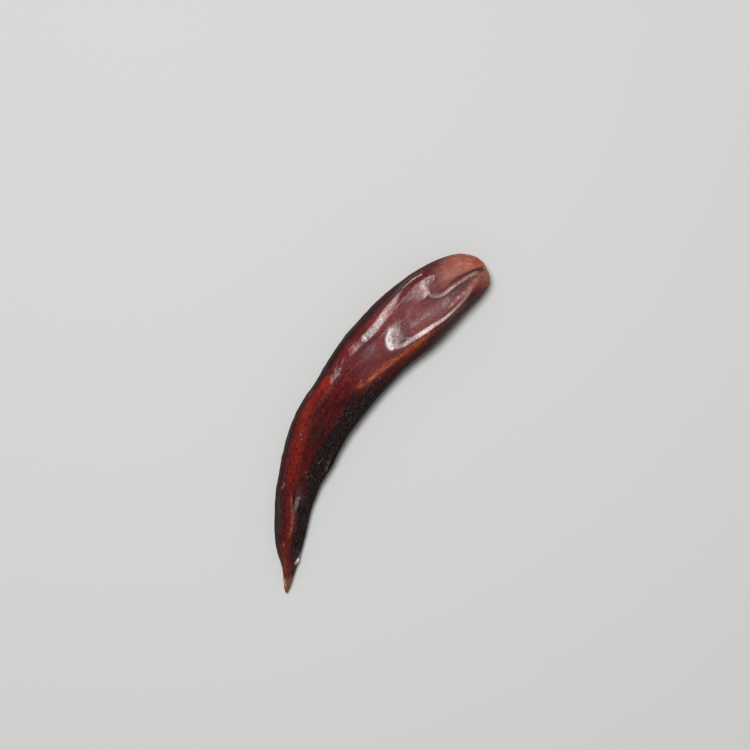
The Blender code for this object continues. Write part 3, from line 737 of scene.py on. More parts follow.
# the broad block
m = worn_patch((392.3, 340.5), 3.3, 1.35, 0.67, 0.96, calm=0.6)
polish(splash([([(391, 331.5), (388.6, 337), (388.6, 342.5), (391, 348.5)], 1.15)], 0.30) * m,
       1.00 * ease(0.86 + 1.0 * uneven + 0.9 * fleckle), 0.0)
polish(splash([([(395, 330.5), (393.5, 337), (393.3, 341.5), (395, 345)], 1.8)], 0.70) * m,
       0.56 * ease(0.82 + 1.1 * uneven + 1.1 * fleckle), 0.0)
polish(splash([([(396.5, 330), (399, 325.5)], 1.0)], 0.6) * m,
       0.40 * ease(0.80 + 1.0 * uneven + 0.8 * fleckle), 0.0)
polish(m, 0.16 * ease(0.7 + 0.8 * uneven + 0.8 * fleckle), 0.6)
m = worn_patch((396.5, 326.5), 1.5, 1.4, 0.72, 0.5)
polish(m, 0.34 * ease(0.62 + 1.4 * uneven + 0.8 * fleckle))
# the crest on the -Y side
m, r = worn_line([(425, 273.8), (417.5, 277.4), (410, 282.4), (403, 289.0), (397.3, 296.8), (389.5, 307.8),
                  (382.5, 317.2), (377.8, 325), (372.3, 331.8), (367.3, 336.8), (361, 342.5)],
                 [0.95, 0.95, 0.95, 1.0, 1.3, 1.9, 2.1, 2.1, 2.0, 1.8, 1.5], 1.0, 0.04, 0.04, 1.0, 0.85)
polish(m, np.interp(r, [0, .09, .19, .29, .39, .46, .53, .60, .67, .80, .94, 1],
                    [.46, .56, .74, 1.2, 1.0, .64, .58, .62, 1.12, 1.45, 1.45, 1.2])
       * ease(0.90 + 0.9 * uneven + 0.7 * fleckle), 0.42, 0.84)
m, r = worn_line([(364, 339.5), (359.5, 344.5), (355, 348), (350.5, 351.5), (346.5, 356)],
                 [1.1, 1.5, 1.75, 1.7, 1.3], 0.80, 0.0, 0.15, 1.0)
polish(m, np.interp(r, [0, .25, .5, .7, 1], [.50, .34, .44, .70, .20])
       * ease(0.66 + 1.6 * uneven + 1.2 * fleckle))
m, r = worn_line([(347.5, 353.5), (343, 359.5), (339.7, 366), (336, 372), (332, 378), (328, 385)],
                 [1.1, 1.2, 1.4, 1.75, 1.8, 1.1], 0.75, 0.2, 0.2, 1.0)
polish(m, np.interp(r, [0, .2, .45, .6, .85, 1], [.32, .38, .42, .64, .56, .10])
       * ease(0.62 + 1.8 * uneven + 1.5 * fleckle))
# the sharp crest on the +Y side that runs into the block
m, r = worn_line([(473.5, 285.5), (467.5, 295), (461.3, 302.8), (453, 310.9), (446.5, 316.7), (440.3, 321.3),
                  (435, 324.5), (429, 328.6), (422.5, 333.1), (415.5, 337.4), (409, 342), (402.5, 345.8),
                  (396, 348), (391.5, 349)],
                 [0.8, 0.85, 0.9, 0.95, 1.0, 1.1, 1.15, 1.2, 1.25, 1.3, 1.2, 1.1, 1.1, 1.0], 1.0,
                 0.06, 0.10, 1.0, 0.80)
polish(m, np.interp(r, [0, .08, .17, .27, .37, .46, .70, .78, .84, .90, 1], [.30, .90, 1.25, 1.35, 1.35, 1.22, 1.18, 1.34, .72, .40, .2])
       * ease(0.95 + 0.40 * uneven + 0.25 * fleckle), 0.28, 0.72)
# thin crest under the lobe
m, r = worn_line([(469, 277), (463.6, 280.3), (455, 286), (448, 291.6), (442, 295.9), (436, 297.6),
                  (430, 296.4), (427, 292)], [0.40, 0.50, 0.60, 0.66, 0.70, 0.72, 0.70, 0.6], 0.88,
                 0.15, 0.12, 0.6)
polish(m, np.interp(r, [0, .25, .5, .75, 1], [.40, .66, .84, 1.0, .90]), 0.2)
# crest, shoulder and last stretch near the tip
m, r = worn_line([(297, 482), (298.5, 489), (299, 496), (297, 504), (295, 512), (294, 521),
                  (292.5, 530)], [0.7, 1.1, 1.45, 1.3, 1.0, 0.9, 0.7], 1.0, 0.15, 0.12, 0.9, 0.55)
polish(m * splash([([(297, 486), (299, 492), (298.5, 497)], 1.25), ([(298, 499), (295.8, 509)], 0.7),
                    ([(295, 512), (293, 528)], 0.5)], 1.0),
       np.interp(r, [0, .08, .26, .5, .8, 1], [.20, .44, .52, .46, .40, .34]), 0.0)
polish(m, 0.12 * ease(0.62 + 1.6 * uneven + 1.8 * fleckle), 0.7)
m, r = worn_line([(305.8, 503), (305.8, 512), (305, 522), (303.6, 532)], [0.7, 0.9, 0.9, 0.6],
                 1.0, 0.25, 0.25)
polish(m, 0.16 * ease(0.7 + 1.2 * fleckle))
m, r = worn_line([(299.2, 556), (297.6, 560.5), (295.8, 565)], [0.5, 0.75, 0.85], 0.95, 0.12, 0.10)
polish(m, np.interp(r, [0, .4, 1], [.7, 1.0, 1.0]), 0.2)
m, r = worn_line([(291.6, 560), (289.8, 568), (290.4, 578)], [0.30, 0.36, 0.30], 0.8, 0.15, 0.15)
polish(m, 0.13, 0.3)
m, r = worn_line([(284.2, 580), (284.4, 585), (285.4, 590)], [0.25, 0.3, 0.25], 0.8, 0.2, 0.2)
polish(m, 0.16, 0.3)

P = P1 + NORMAL * (D * (1.0 - smooth_here))[..., None]
# where it lies, its own weight has flattened it
P[..., 2] = 0.5 * (P[..., 2] + np.sqrt(P[..., 2] ** 2 + 0.10 ** 2))


def end_frame():
    centre, across, _ = section(np.array(0.0))
    side = np.append(across / np.linalg.norm(across), 0.0)
    inward = np.array([side[1], -side[0], 0.0])
    if inward @ (section(np.array(5.0))[0] - centre) < 0:
        inward = -inward
    return centre, side, inward


END_CENTRE, END_SIDE, END_INWARD = end_frame()
rim = P[0]
rim_middle = rim.mean(axis=0)
inner = []
for shrink, depth in ((0.965, -0.16), (0.91, -0.20), (0.855, -0.10), (0.815, 0.12),
                      (0.79, 0.45), (0.775, 0.85), (0.74, 1.20), (0.60, 1.36), (0.35, 1.40)):
    ring = rim_middle + (rim - rim_middle) * shrink
    flat = ((ring - END_CENTRE) @ END_INWARD)[:, None] * END_INWARD
    settle = ease((1.0 - shrink) / 0.25)
    inner.append(ring - flat * settle + END_INWARD * depth)
inner_end = inner[-1].mean(axis=0) + END_INWARD * 0.02
last = P[-1]
tip_middle = last.mean(axis=0)
tip_dir = CENTRE[-1, 0] - CENTRE[-8, 0]
tip_dir /= np.linalg.norm(tip_dir)
cap = []
for q in (0.25, 0.5, 0.75):
    cap.append(tip_middle + (last - tip_middle) * math.cos(q * math.pi / 2)
               + tip_dir * TIP_ROUNDING * math.sin(q * math.pi / 2))
cap_end = tip_middle + tip_dir * TIP_ROUNDING

rings = np.concatenate([np.array(inner[::-1]), P, np.array(cap)], axis=0)
n_rings, n_inner = rings.shape[0], len(inner)
verts = np.concatenate([rings.reshape(-1, 3), inner_end[None], cap_end[None]]) + ORIGIN
index = np.arange(n_rings * AROUND).reshape(n_rings, AROUND)
nxt = np.roll(index, -1, axis=1)
quads = np.stack([index[:-1], nxt[:-1], nxt[1:], index[1:]], -1).reshape(-1, 4)
start_fan = np.stack([np.full(AROUND, n_rings * AROUND), nxt[0], index[0]], -1)
end_fan = np.stack([np.full(AROUND, n_rings * AROUND + 1), index[-1], nxt[-1]], -1)


def padded_field(field, inner_value=None, cap_value=None):
    """A value on the flank, carried on over the lip and the tip's cap."""
    first = np.repeat(field[:1], n_inner, axis=0) if inner_value is None else \
        np.full((n_inner,) + field.shape[1:], inner_value)
    final = np.repeat(field[-1:], len(cap), axis=0)
    flat = np.concatenate([first, field, final], axis=0)
    flat = flat.reshape((-1,) + field.shape[2:])
    ends = np.stack([field[0].mean(axis=0) if inner_value is None else
                     np.full(field.shape[2:], inner_value), field[-1].mean(axis=0)])
    return np.concatenate([flat, ends], axis=0)


def mesh_from(name, points, faces):
    mesh = bpy.data.meshes.new(name)
    mesh.from_pydata((points * MM).tolist(), [], faces)
    mesh.validate()
    mesh.shade_smooth()
    obj = bpy.data.objects.new(name, mesh)
    bpy.context.scene.collection.objects.link(obj)
    return obj


def add_value(obj, name, values):
    values = np.asarray(values, np.float32)
    kind = "FLOAT" if values.ndim == 1 else "FLOAT_VECTOR"
    layer = obj.data.attributes.new(name, kind, "POINT")
    layer.data.foreach_set("value" if kind == "FLOAT" else "vector", values.ravel())


skin = mesh_from("skin", verts, quads.tolist() + start_fan.tolist() + end_fan.tolist())

# ----------------------------------------------------- where colours change
grain = layered(STRAIGHT * np.array([0.5, 0.9, 0.9]), 71, 3)
streak = layered(STRAIGHT * np.array([0.10, 0.7, 0.7]), 83, 3)
blotch = layered(STRAIGHT * np.array([0.10, 0.17, 0.17]), 97, 3)

across_share = W / HALF_W / arc_of(math.pi / 2)      # -1..1 on the upper side
lateral = np.where(np.cos(A) > 0, outline(A)[0], np.sign(A) * 1.0)
upward = ease((np.cos(A) + 0.10) / 0.5)

LOBE_LINE = [(493, 264), (486.5, 267), (480, 268.8), (472, 271.6), (463.6, 275.4), (456.4, 279),
             (451.5, 282.5), (445.5, 289), (438, 295), (429, 302), (419, 310), (408, 320)]
line_gap, line_side, _ = along_curve(LOBE_LINE)
lobe_side = ease(0.5 - line_side / 1.1)
lobe_end = float(on_skin([(433, 281)])[0][0])
lobe_area = lobe_side * (1.0 - ease((S + 2.4 * grain + 1.2 * blotch - lobe_end + 5.0) / 8.5))
lobe_area *= ease((1.18 - 0.36 * ease((S - 8.0) / 6.0) + across_share) / 0.36) \
    * np.where(np.cos(A) > -0.3, 1.0, 0.0)
right_far = ease((side1 - 1.0) / 1.4) * taper(run1, 0.08, 0.45) * (1.0 - ease((d1 - 3.0) / 6.0))
pink = 0.95 * lobe_area * (1.0 - 0.42 * ease((-lateral - 0.30) / 0.45) * ease((S - 7.0) / 5.0))
# Along the two crests and on the plateau the pink is partly painted sheen over the salmon skin.
pink = np.maximum(pink, 0.80 * bell(d3, 1.0) * taper(run3, 0.0, 0.5))
pink = np.maximum(pink, 0.70 * np.exp(-(S / 3.0) ** 2) * (0.35 + 0.65 * upward))
pink = np.maximum(pink, 0.60 * plateau * ease(0.65 + 1.3 * grain))
pink = np.maximum(pink, 0.40 * bell(d2, 1.0) * window(F, 0.12, 0.42, 0.12))
pink = np.maximum(pink, 0.34 * window(F, 0.06, 0.36, 0.10) * window(lateral, -0.78, 0.72, 0.3)
                  * ease(0.62 + 1.1 * blotch + 0.8 * grain))
pink *= 1.0 - 0.75 * bell(dv, 0.7) * taper(runv, 0.05, 0.3)

orange = 1.0 * bell(sidek + 0.50, 0.75 + 0.5 * streak + 0.60 * (1.0 - ease((runk - 0.08) / 0.25))) * window(runk, -0.06, 0.80, 0.15) \
    * ease(0.72 + 1.3 * layered(STRAIGHT * np.array([0.24, 0.8, 0.8]), 131, 2))
orange = np.maximum(orange, 0.70 * near((407, 350), 1.3, 1.8, 0.0) * ease(0.6 + 1.6 * grain))
orange = np.maximum(orange, 0.34 * bell(sideg + 0.05, 0.36) * taper(rung, 0.40, 0.25))
BAND = [(337, 373), (328, 383), (319.5, 393), (312, 402.5), (306, 418), (301.5, 436), (298, 456),
        (294, 474), (291, 488)]
db, sideb, runb = along_curve(BAND)
band = bell(db, 1.9) * taper(runb, 0.14, 0.14)
orange = np.maximum(orange, 0.30 * band * ease(0.50 + 1.9 * streak))
orange = np.maximum(orange, 0.55 * bell(dc, 0.30) * window(runc, 0.22, 0.62, 0.08) * ease(0.8 + 2 * streak))
orange = np.maximum(orange, 0.24 * bell(dc, 0.7) * window(runc, 0.64, 1.05, 0.12))

# Brighter red band along the crest, partly the skin's own colour and partly painted glow, and a painted lighter
# red over the top of the wide half.
bright_red_and_lit_top = np.maximum(bell(db, np.where(sideb > 0, 1.6, 2.5)) ** 0.8 * taper(runb, 0.12, 0.10)
                    * (1.0 - 0.22 * ease((runb - 0.55) / 0.3)),
                    0.46 * bell(dc, 2.0) * taper(runc, 0.05, 0.12))
bright_red_and_lit_top = np.maximum(bright_red_and_lit_top, 0.40 * window(F, 0.12, 0.50, 0.15) * ease((np.cos(A) - 0.2) / 0.5)
                    * ease(0.55 + 1.2 * blotch))

# Near-black on the lower +Y side and beside the crest near the tip, partly the skin's own dark colour and partly
# painted shade; painted shade also on the -Y margin and on the flank beyond the sharp crest. The underside is dark
# skin.
DARK_EDGE = [(424, 352), (404, 362), (386, 374), (368, 388), (352, 402), (338, 418), (327, 436),
             (318, 453), (309, 470), (303, 487), (300, 502), (298, 520), (296.5, 538),
             (294, 555)]
dd, sided, rund = along_curve(DARK_EDGE)
dark = ease(0.5 + (sided + 1.3 * blotch + 0.8 * streak) / 3.4)
dark = dark * ease((F - 0.22) / 0.22) * np.where(W > -1.0, 1.0, 0.0)
dark *= 1.0 - ease((np.abs(A) - 1.7) / 0.5) * 0.6
SHADOW = [(364, 392), (351, 396), (339, 401.5), (329, 409), (321, 418)]
dsh, _, rsh = along_curve(SHADOW)
shadow = bell(dsh, 3.4) * taper(rsh, 0.15, 0.10)
dsh, _, rsh = along_curve([(341, 399), (334, 410), (328, 422), (324, 434), (320, 448)])
shadow = np.maximum(shadow, 0.62 * bell(dsh, 2.4) * taper(rsh, 0.25, 0.35))
under_dark = (1.0 - ease((np.cos(A) + 0.35) / 0.6)) * ease(0.42 + 1.6 * blotch)
dark = dark * (1.0 - 0.80 * near((299, 496.5), 1.7, 2.2))
dark = np.maximum(dark, 0.75 * under_dark)
left_dark = ease((-lateral - 0.72) / 0.16) * (1.0 - 0.6 * ease((F - 0.40) / 0.2)) * ease((F - 0.20) / 0.10)
dark = np.maximum(dark, 0.62 * left_dark * ease(0.75 + 0.8 * blotch))
side_dark = ease((side1 - 0.9) / 2.2) * (1 - ease((side1 - 10.0) / 4.0)) * taper(run1, 0.10, 0.30)
dark = np.maximum(dark, 0.42 * side_dark)
tip_dark = ease((sidec - 1.1) / 0.9) * window(F, 0.74, 0.955, 0.05) * np.where(np.abs(A) < 2.0, 1.0, 0.0)
dark = np.maximum(dark, 0.95 * tip_dark)
dark = np.maximum(dark, 0.62 * bell(sidec - 0.50, 0.30) * window(F, 0.925, 0.995, 0.02))
# Painted dim reflection: a grey-brown band along the -Y side near the tip, where the skin faces down and away.
painted_dim_reflection = ease((-sidec - 2.3) / 0.7) * window(F, 0.72, 0.93, 0.06) * np.where(np.abs(A) < 2.0, 1.0, 0.0)

# Painted sheen: violet-grey over the sunken panel, the plateau, the block, patches beside the crests and near the
# tip, over a faint tint of the skin.
mauve_tint_and_sheen = 0.85 * np.maximum(panel, 0.6 * plateau) * ease((F - 0.02) / 0.10)
mauve_tint_and_sheen = np.maximum(mauve_tint_and_sheen, 0.55 * ease((-across_share - 0.30) / 0.4) * ease((F - 0.66) / 0.12)
                   * ease((0.96 - F) / 0.06))
mauve_tint_and_sheen = np.maximum(mauve_tint_and_sheen, 1.0 * near((298.8, 495), 1.7, 1.7))
mauve_tint_and_sheen = np.maximum(mauve_tint_and_sheen, 0.70 * bell(sidec - 1.3, 1.1) * window(runc, 0.18, 0.62, 0.12))
mauve_tint_and_sheen = np.maximum(mauve_tint_and_sheen, 0.55 * near((370, 352), 2.0, 1.4))
mauve_tint_and_sheen = np.maximum(mauve_tint_and_sheen, 0.55 * hook)
mauve_tint_and_sheen = np.maximum(mauve_tint_and_sheen, 0.60 * window(F, 0.885, 0.962, 0.02) * upward)
mauve_tint_and_sheen = np.maximum(mauve_tint_and_sheen, 0.55 * bell(sidec + 0.1, 0.9) * window(runc, 0.24, 0.62, 0.10))
mauve_tint_and_sheen = np.maximum(mauve_tint_and_sheen, 0.95 * near((400.5, 336), 2.3, 1.5, 0.7) * ease(0.75 + 0.9 * grain))
mauve_tint_and_sheen = np.maximum(mauve_tint_and_sheen, 0.42 * near((318, 428), 3.4, 2.0) * ease(0.5 + 1.8 * streak))

pale_tip = np.zeros(S.shape)
tan = 0.85 * np.exp(-(S / 0.32) ** 2) * ease(0.8 + 1.2 * grain)
tan = np.maximum(tan, 0.78 * ease((F - 0.950) / 0.035))
EDGES = [((292.0, 578.5), (291.3, 583), (289.5, 588.3)), ((284.0, 579), (284.1, 584), (284.9, 589))]
for points in EDGES:
    dx, _, rx = along_curve(list(points))
    pale_tip = np.maximum(pale_tip, bell(dx, 0.24) * taper(rx, 0.25, 0.25))
crest_tan = bell(sidec - 0.05, 0.32) * window(runc, 0.24, 0.64, 0.08) * ease(0.85 + 1.6 * fleckle)
tan = np.maximum(tan, 0.95 * crest_tan)
tan = np.maximum(tan, 0.34 * bell(sidec + 0.2, 0.40) * window(runc, 0.64, 1.10, 0.10)
                 * ease(0.70 + 1.0 * grain + 0.9 * fleckle))
for spot, width in (((310.6, 394), 0.55), ((284, 484.5), 0.36), ((282.4, 487), 0.28), ((283.5, 545), 0.30)):
    tan = np.maximum(tan, near(spot, width, 1.8))
# Painted highlights: pale glints on the wrinkles of the lower half, the tip's two rims, pale dots on the crests
# and the white stroke near the tip.
painted_glints = np.zeros(S.shape)
for points, amount in (([(302, 473.5), (307, 471.5), (312, 470)], 0.36),
                       ([(314, 468.5), (318, 464), (322, 459.5), (326, 456)], 0.26),
                       ([(331.5, 454), (329, 462), (325.5, 472), (321.5, 481)], 0.30),
                       ([(328.5, 458), (326, 466), (322.5, 474)], 0.20),
                       ([(305, 477), (309, 476.5), (313, 474)], 0.22)):
    dx, _, rx = along_curve(points)
    painted_glints = np.maximum(painted_glints, amount * bell(dx, 0.20) * taper(rx, 0.3, 0.3) * ease(0.45 + 2.6 * fleckle))
painted_glints = np.maximum(painted_glints, 0.75 * pale_tip)
# painted highlight: pale lines along the top of the sharp crest and the thin crest round the lobe
for points, half, amounts in (
        ([(471, 289), (463.5, 299.5), (456, 307.8), (448.5, 315.2), (441, 320.8), (433, 325.6)], 0.42,
         [.10, .34, .40, .46, .34, .0]),
        ([(462, 281.6), (455, 286), (448, 291.6), (442, 295.9), (436, 297.6), (430.5, 296.6), (427, 292)], 0.30,
         [.12, .26, .34, .40, .46, .40, .10])):
    dx, _, rx = along_curve(points)
    painted_glints = np.maximum(painted_glints, bell(dx, half) * taper(rx, 0.06, 0.06)
                       * np.interp(rx, np.linspace(0, 1, len(amounts)), amounts) * ease(0.85 + 0.8 * fleckle))
for spot, width, amount in (((462.9, 293.9), 0.28, 0.7), ((457.3, 298.4), 0.36, 0.9), ((450.9, 304.9), 0.36, 0.85),
                            ((448.2, 307.4), 0.24, 0.7), ((468.5, 288.4), 0.18, 0.6), ((454, 300.6), 0.16, 0.5),
                            ((301.5, 434.2), 0.20, 0.6), ((302.5, 438.4), 0.18, 0.6),
                            ((361.3, 380.8), 0.15, 0.8), ((379.6, 377.9), 0.16, 0.9)):
    painted_glints = np.maximum(painted_glints, amount * near(spot, width))
painted_glints = np.maximum(painted_glints, 0.70 * splash([([(299.4, 555.5), (297.6, 560)], 0.42), ([(297.6, 560), (295.6, 564.5)], 0.58)], 0.1))
# Darker towards the tip, and painted shade on both margins, the flank beyond the sharp crest, the flank beyond the
# orange fold, along the two shadow curves and in the crease of the side line.
dark_tone_and_shade = 0.69 * ease((F - 0.38) / 0.20)
margin = np.where(lateral < 0, ease((-lateral - 0.66 + 0.05 * grain) / 0.20),
                  ease((lateral - 0.74 + 0.05 * grain) / 0.18))
dark_tone_and_shade = np.maximum(dark_tone_and_shade, (0.55 + 0.40 * ease((F - 0.12) / 0.10)) * margin) * (1.0 - 0.85 * np.clip(pink, 0, 1))
dark_tone_and_shade = np.maximum(dark_tone_and_shade, 0.72 * right_far)
dark_tone_and_shade = np.maximum(dark_tone_and_shade, 0.46 * ease((sidek - 0.30) / 0.9) * window(runk, 0.02, 0.95, 0.12)
                  * (1.0 - ease((dk - 4.0) / 3.0)))
dark_tone_and_shade = np.maximum(dark_tone_and_shade, 0.86 * shadow * ease(0.8 + 0.9 * streak))
dark_tone_and_shade = np.maximum(dark_tone_and_shade, 0.60 * bell(dsl, 0.50) * taper(rsl, 0.1, 0.2))
dark_tone_and_shade = np.maximum(dark_tone_and_shade, 0.72 * window(F, 0.880, 0.962, 0.02) * np.where(np.abs(A) < 2.0, 1.0, 0.0))
# Painted highlight: pale colour along the thin crest under the lobe and a pale spot on the lobe.
pale = 0.85 * bell(dt, 0.45) * taper(runt, 0.1, 0.2)
pale = np.maximum(pale, 0.26 * near((457, 273.5), 1.9, 1.7) * ease(0.7 + 0.9 * fleckle))
olive = bell(dv, 0.62) * taper(runv, 0.03, 0.18)
olive = np.maximum(olive, 0.66 * bell(dtr, 0.85) * taper(rtr, 0.05, 0.35))

# how polished the skin is: the worn places shine, the flanks are dull
gloss = 0.015 + 0.15 * (1.0 - ease((F - 0.345 + 0.05 * grain) / 0.10))
gloss = gloss * (1.0 - 0.55 * lobe_area)
flank = ease((np.abs(lateral) - 0.60) / 0.16)
gloss = gloss * (1.0 - 0.95 * flank)
q_s = np.gradient(P, axis=0)
q_a = np.roll(P, -1, axis=1) - np.roll(P, 1, axis=1)
facing = np.cross(q_a, q_s)
facing /= np.maximum(np.linalg.norm(facing, axis=-1, keepdims=True), 1e-9)
for _ in range(4):
    facing[1:-1] = (facing[:-2] + 2.0 * facing[1:-1] + facing[2:]) / 4.0
    facing = (np.roll(facing, 1, axis=1) + 2.0 * facing + np.roll(facing, -1, axis=1)) / 4.0
facing /= np.linalg.norm(facing, axis=-1, keepdims=True)
facing *= np.sign((facing * NORMAL).sum(-1, keepdims=True))
slope = np.degrees(np.arccos(np.clip(facing[..., 2], -1.0, 1.0)))
side_sheen = ease((slope - 19.0) / 10.0) * (1.0 - ease((slope - 42.0) / 14.0))
side_sheen = np.maximum(0.33 * side_sheen, 0.34 * ease((slope - 92.0) / 14.0)) * (1.0 - 0.35 * dark)
side_sheen = side_sheen * ease(0.80 + 0.9 * uneven + 0.5 * fleckle)
right_of_r1 = ease((side1 - 0.3) / 0.8) * taper(run1, 0.04, 0.2) * (1.0 - ease((d1 - 5.0) / 5.0))
gloss = gloss * (1.0 - 0.9 * right_of_r1)
gloss = np.maximum(np.maximum(gloss, side_sheen) * (1.0 - 0.9 * olive), SHEEN)
streaky = 0.30 + 0.70 * ease((F - 0.34) / 0.15)
# faint painted violet-grey sheen on the top of the wide half, not on its sides
painted_top_sheen = (1.0 - ease((F - 0.34) / 0.14)) * window(lateral, -0.58, 0.72, 0.22) * upward * (1.0 - 0.6 * lobe_area)

for name, field, inner_value in (
        ("pink", pink, 0.6), ("orange", orange, 0.5), ("bright_red_and_lit_top", bright_red_and_lit_top, 0.0),
        ("dark", dark, 0.0), ("mauve_tint_and_sheen", mauve_tint_and_sheen, 0.0), ("tan", tan, 1.0), ("olive", olive, 0.0),
        ("specks", specks, 0.0), ("gloss", gloss, 0.1), ("pale", pale, 0.0),
        ("dark_tone_and_shade", dark_tone_and_shade, 0.6), ("painted_dim_reflection", painted_dim_reflection, 0.0), ("streaky", streaky, 0.3), ("painted_top_sheen", painted_top_sheen, 0.0),
        ("stem", np.exp(-(S / 8.5) ** 2), 1.0), ("painted_glints", painted_glints, 0.0), ("rust", 0.9 * rust, 0.0)):
    add_value(skin, name, padded_field(np.clip(field, 0.0, 1.0), inner_value))
add_value(skin, "flow", padded_field(STRAIGHT))


# ---------------------------------------------------------------- materials
class Nodes:
    """Small helper that makes and links shader nodes."""

    def __init__(self, material):
        material.use_nodes = True
        self.tree = material.node_tree
        self.shader = self.tree.nodes["Principled BSDF"]

    def make(self, kind, **settings):
        node = self.tree.nodes.new(kind)
        for key, value in settings.items():
            setattr(node, key, value)
        return node

    def put(self, node, socket, value):
        target = node.inputs[socket]
        if isinstance(value, bpy.types.NodeSocket):
            self.tree.links.new(value, target)
        else:
            target.default_value = value
        return node

    def value(self, name):
        return self.make("ShaderNodeAttribute", attribute_name=name).outputs["Fac"]

    def vector(self, name):
        return self.make("ShaderNodeAttribute", attribute_name=name).outputs["Vector"]

    def math(self, operation, a, b=None, c=None, clamp=False):
        node = self.make("ShaderNodeMath", operation=operation, use_clamp=clamp)
        for k, value in enumerate((a, b, c)):
            if value is not None:
                self.put(node, k, value)
        return node.outputs[0]

    def mix(self, share, a, b, blend="MIX"):
        node = self.make("ShaderNodeMix", data_type="RGBA", blend_type=blend)
        self.put(node, 0, share)
        self.put(node, 6, a)
        self.put(node, 7, b)
        return node.outputs[2]

    def scaled(self, vector, scale):
        node = self.make("ShaderNodeVectorMath", operation="MULTIPLY")
        self.put(node, 0, vector)
        self.put(node, 1, scale)
        return node.outputs[0]

    def noise(self, vector, scale, detail=3.0, roughness=0.55, distortion=0.0):
        node = self.make("ShaderNodeTexNoise")
        self.put(node, "Vector", vector)
        self.put(node, "Scale", scale)
        self.put(node, "Detail", detail)
        self.put(node, "Roughness", roughness)
        self.put(node, "Distortion", distortion)
        return node.outputs["Fac"]

    def cells(self, vector, scale, feature="F1", randomness=1.0):
        node = self.make("ShaderNodeTexVoronoi", feature=feature)
        self.put(node, "Vector", vector)
        self.put(node, "Scale", scale)
        self.put(node, "Randomness", randomness)
        return node.outputs["Distance"]

    def ramp(self, value, stops):
        node = self.make("ShaderNodeValToRGB")
        self.put(node, 0, value)
        points = node.color_ramp.elements
        while len(points) < len(stops):
            points.new(0.5)
        for point, (at, colour) in zip(points, stops):
            point.position = at
            point.color = (*colour, 1.0) if len(colour) == 3 else colour
        return node.outputs["Color"]

    def span(self, value, low, high, to_low=0.0, to_high=1.0):
        node = self.make("ShaderNodeMapRange", interpolation_type="SMOOTHSTEP")
        self.put(node, 0, value)
        self.put(node, 1, low)
        self.put(node, 2, high)
        self.put(node, 3, to_low)
        self.put(node, 4, to_high)
        return node.outputs[0]

    def bump(self, height, strength, distance, normal=None):
        node = self.make("ShaderNodeBump")
        self.put(node, "Strength", strength)
        self.put(node, "Distance", distance)
        self.put(node, "Height", height)
        if normal is not None:
            self.put(node, "Normal", normal)
        return node.outputs[0]


def srgb(r, g, b):
    """A screen colour, 0 to 255, as the linear colour shaders use."""
    out = []
    for c in (r, g, b):
        c = c / 255.0
        out.append(c / 12.92 if c <= 0.04045 else ((c + 0.055) / 1.055) ** 2.4)
    return (*out, 1.0)


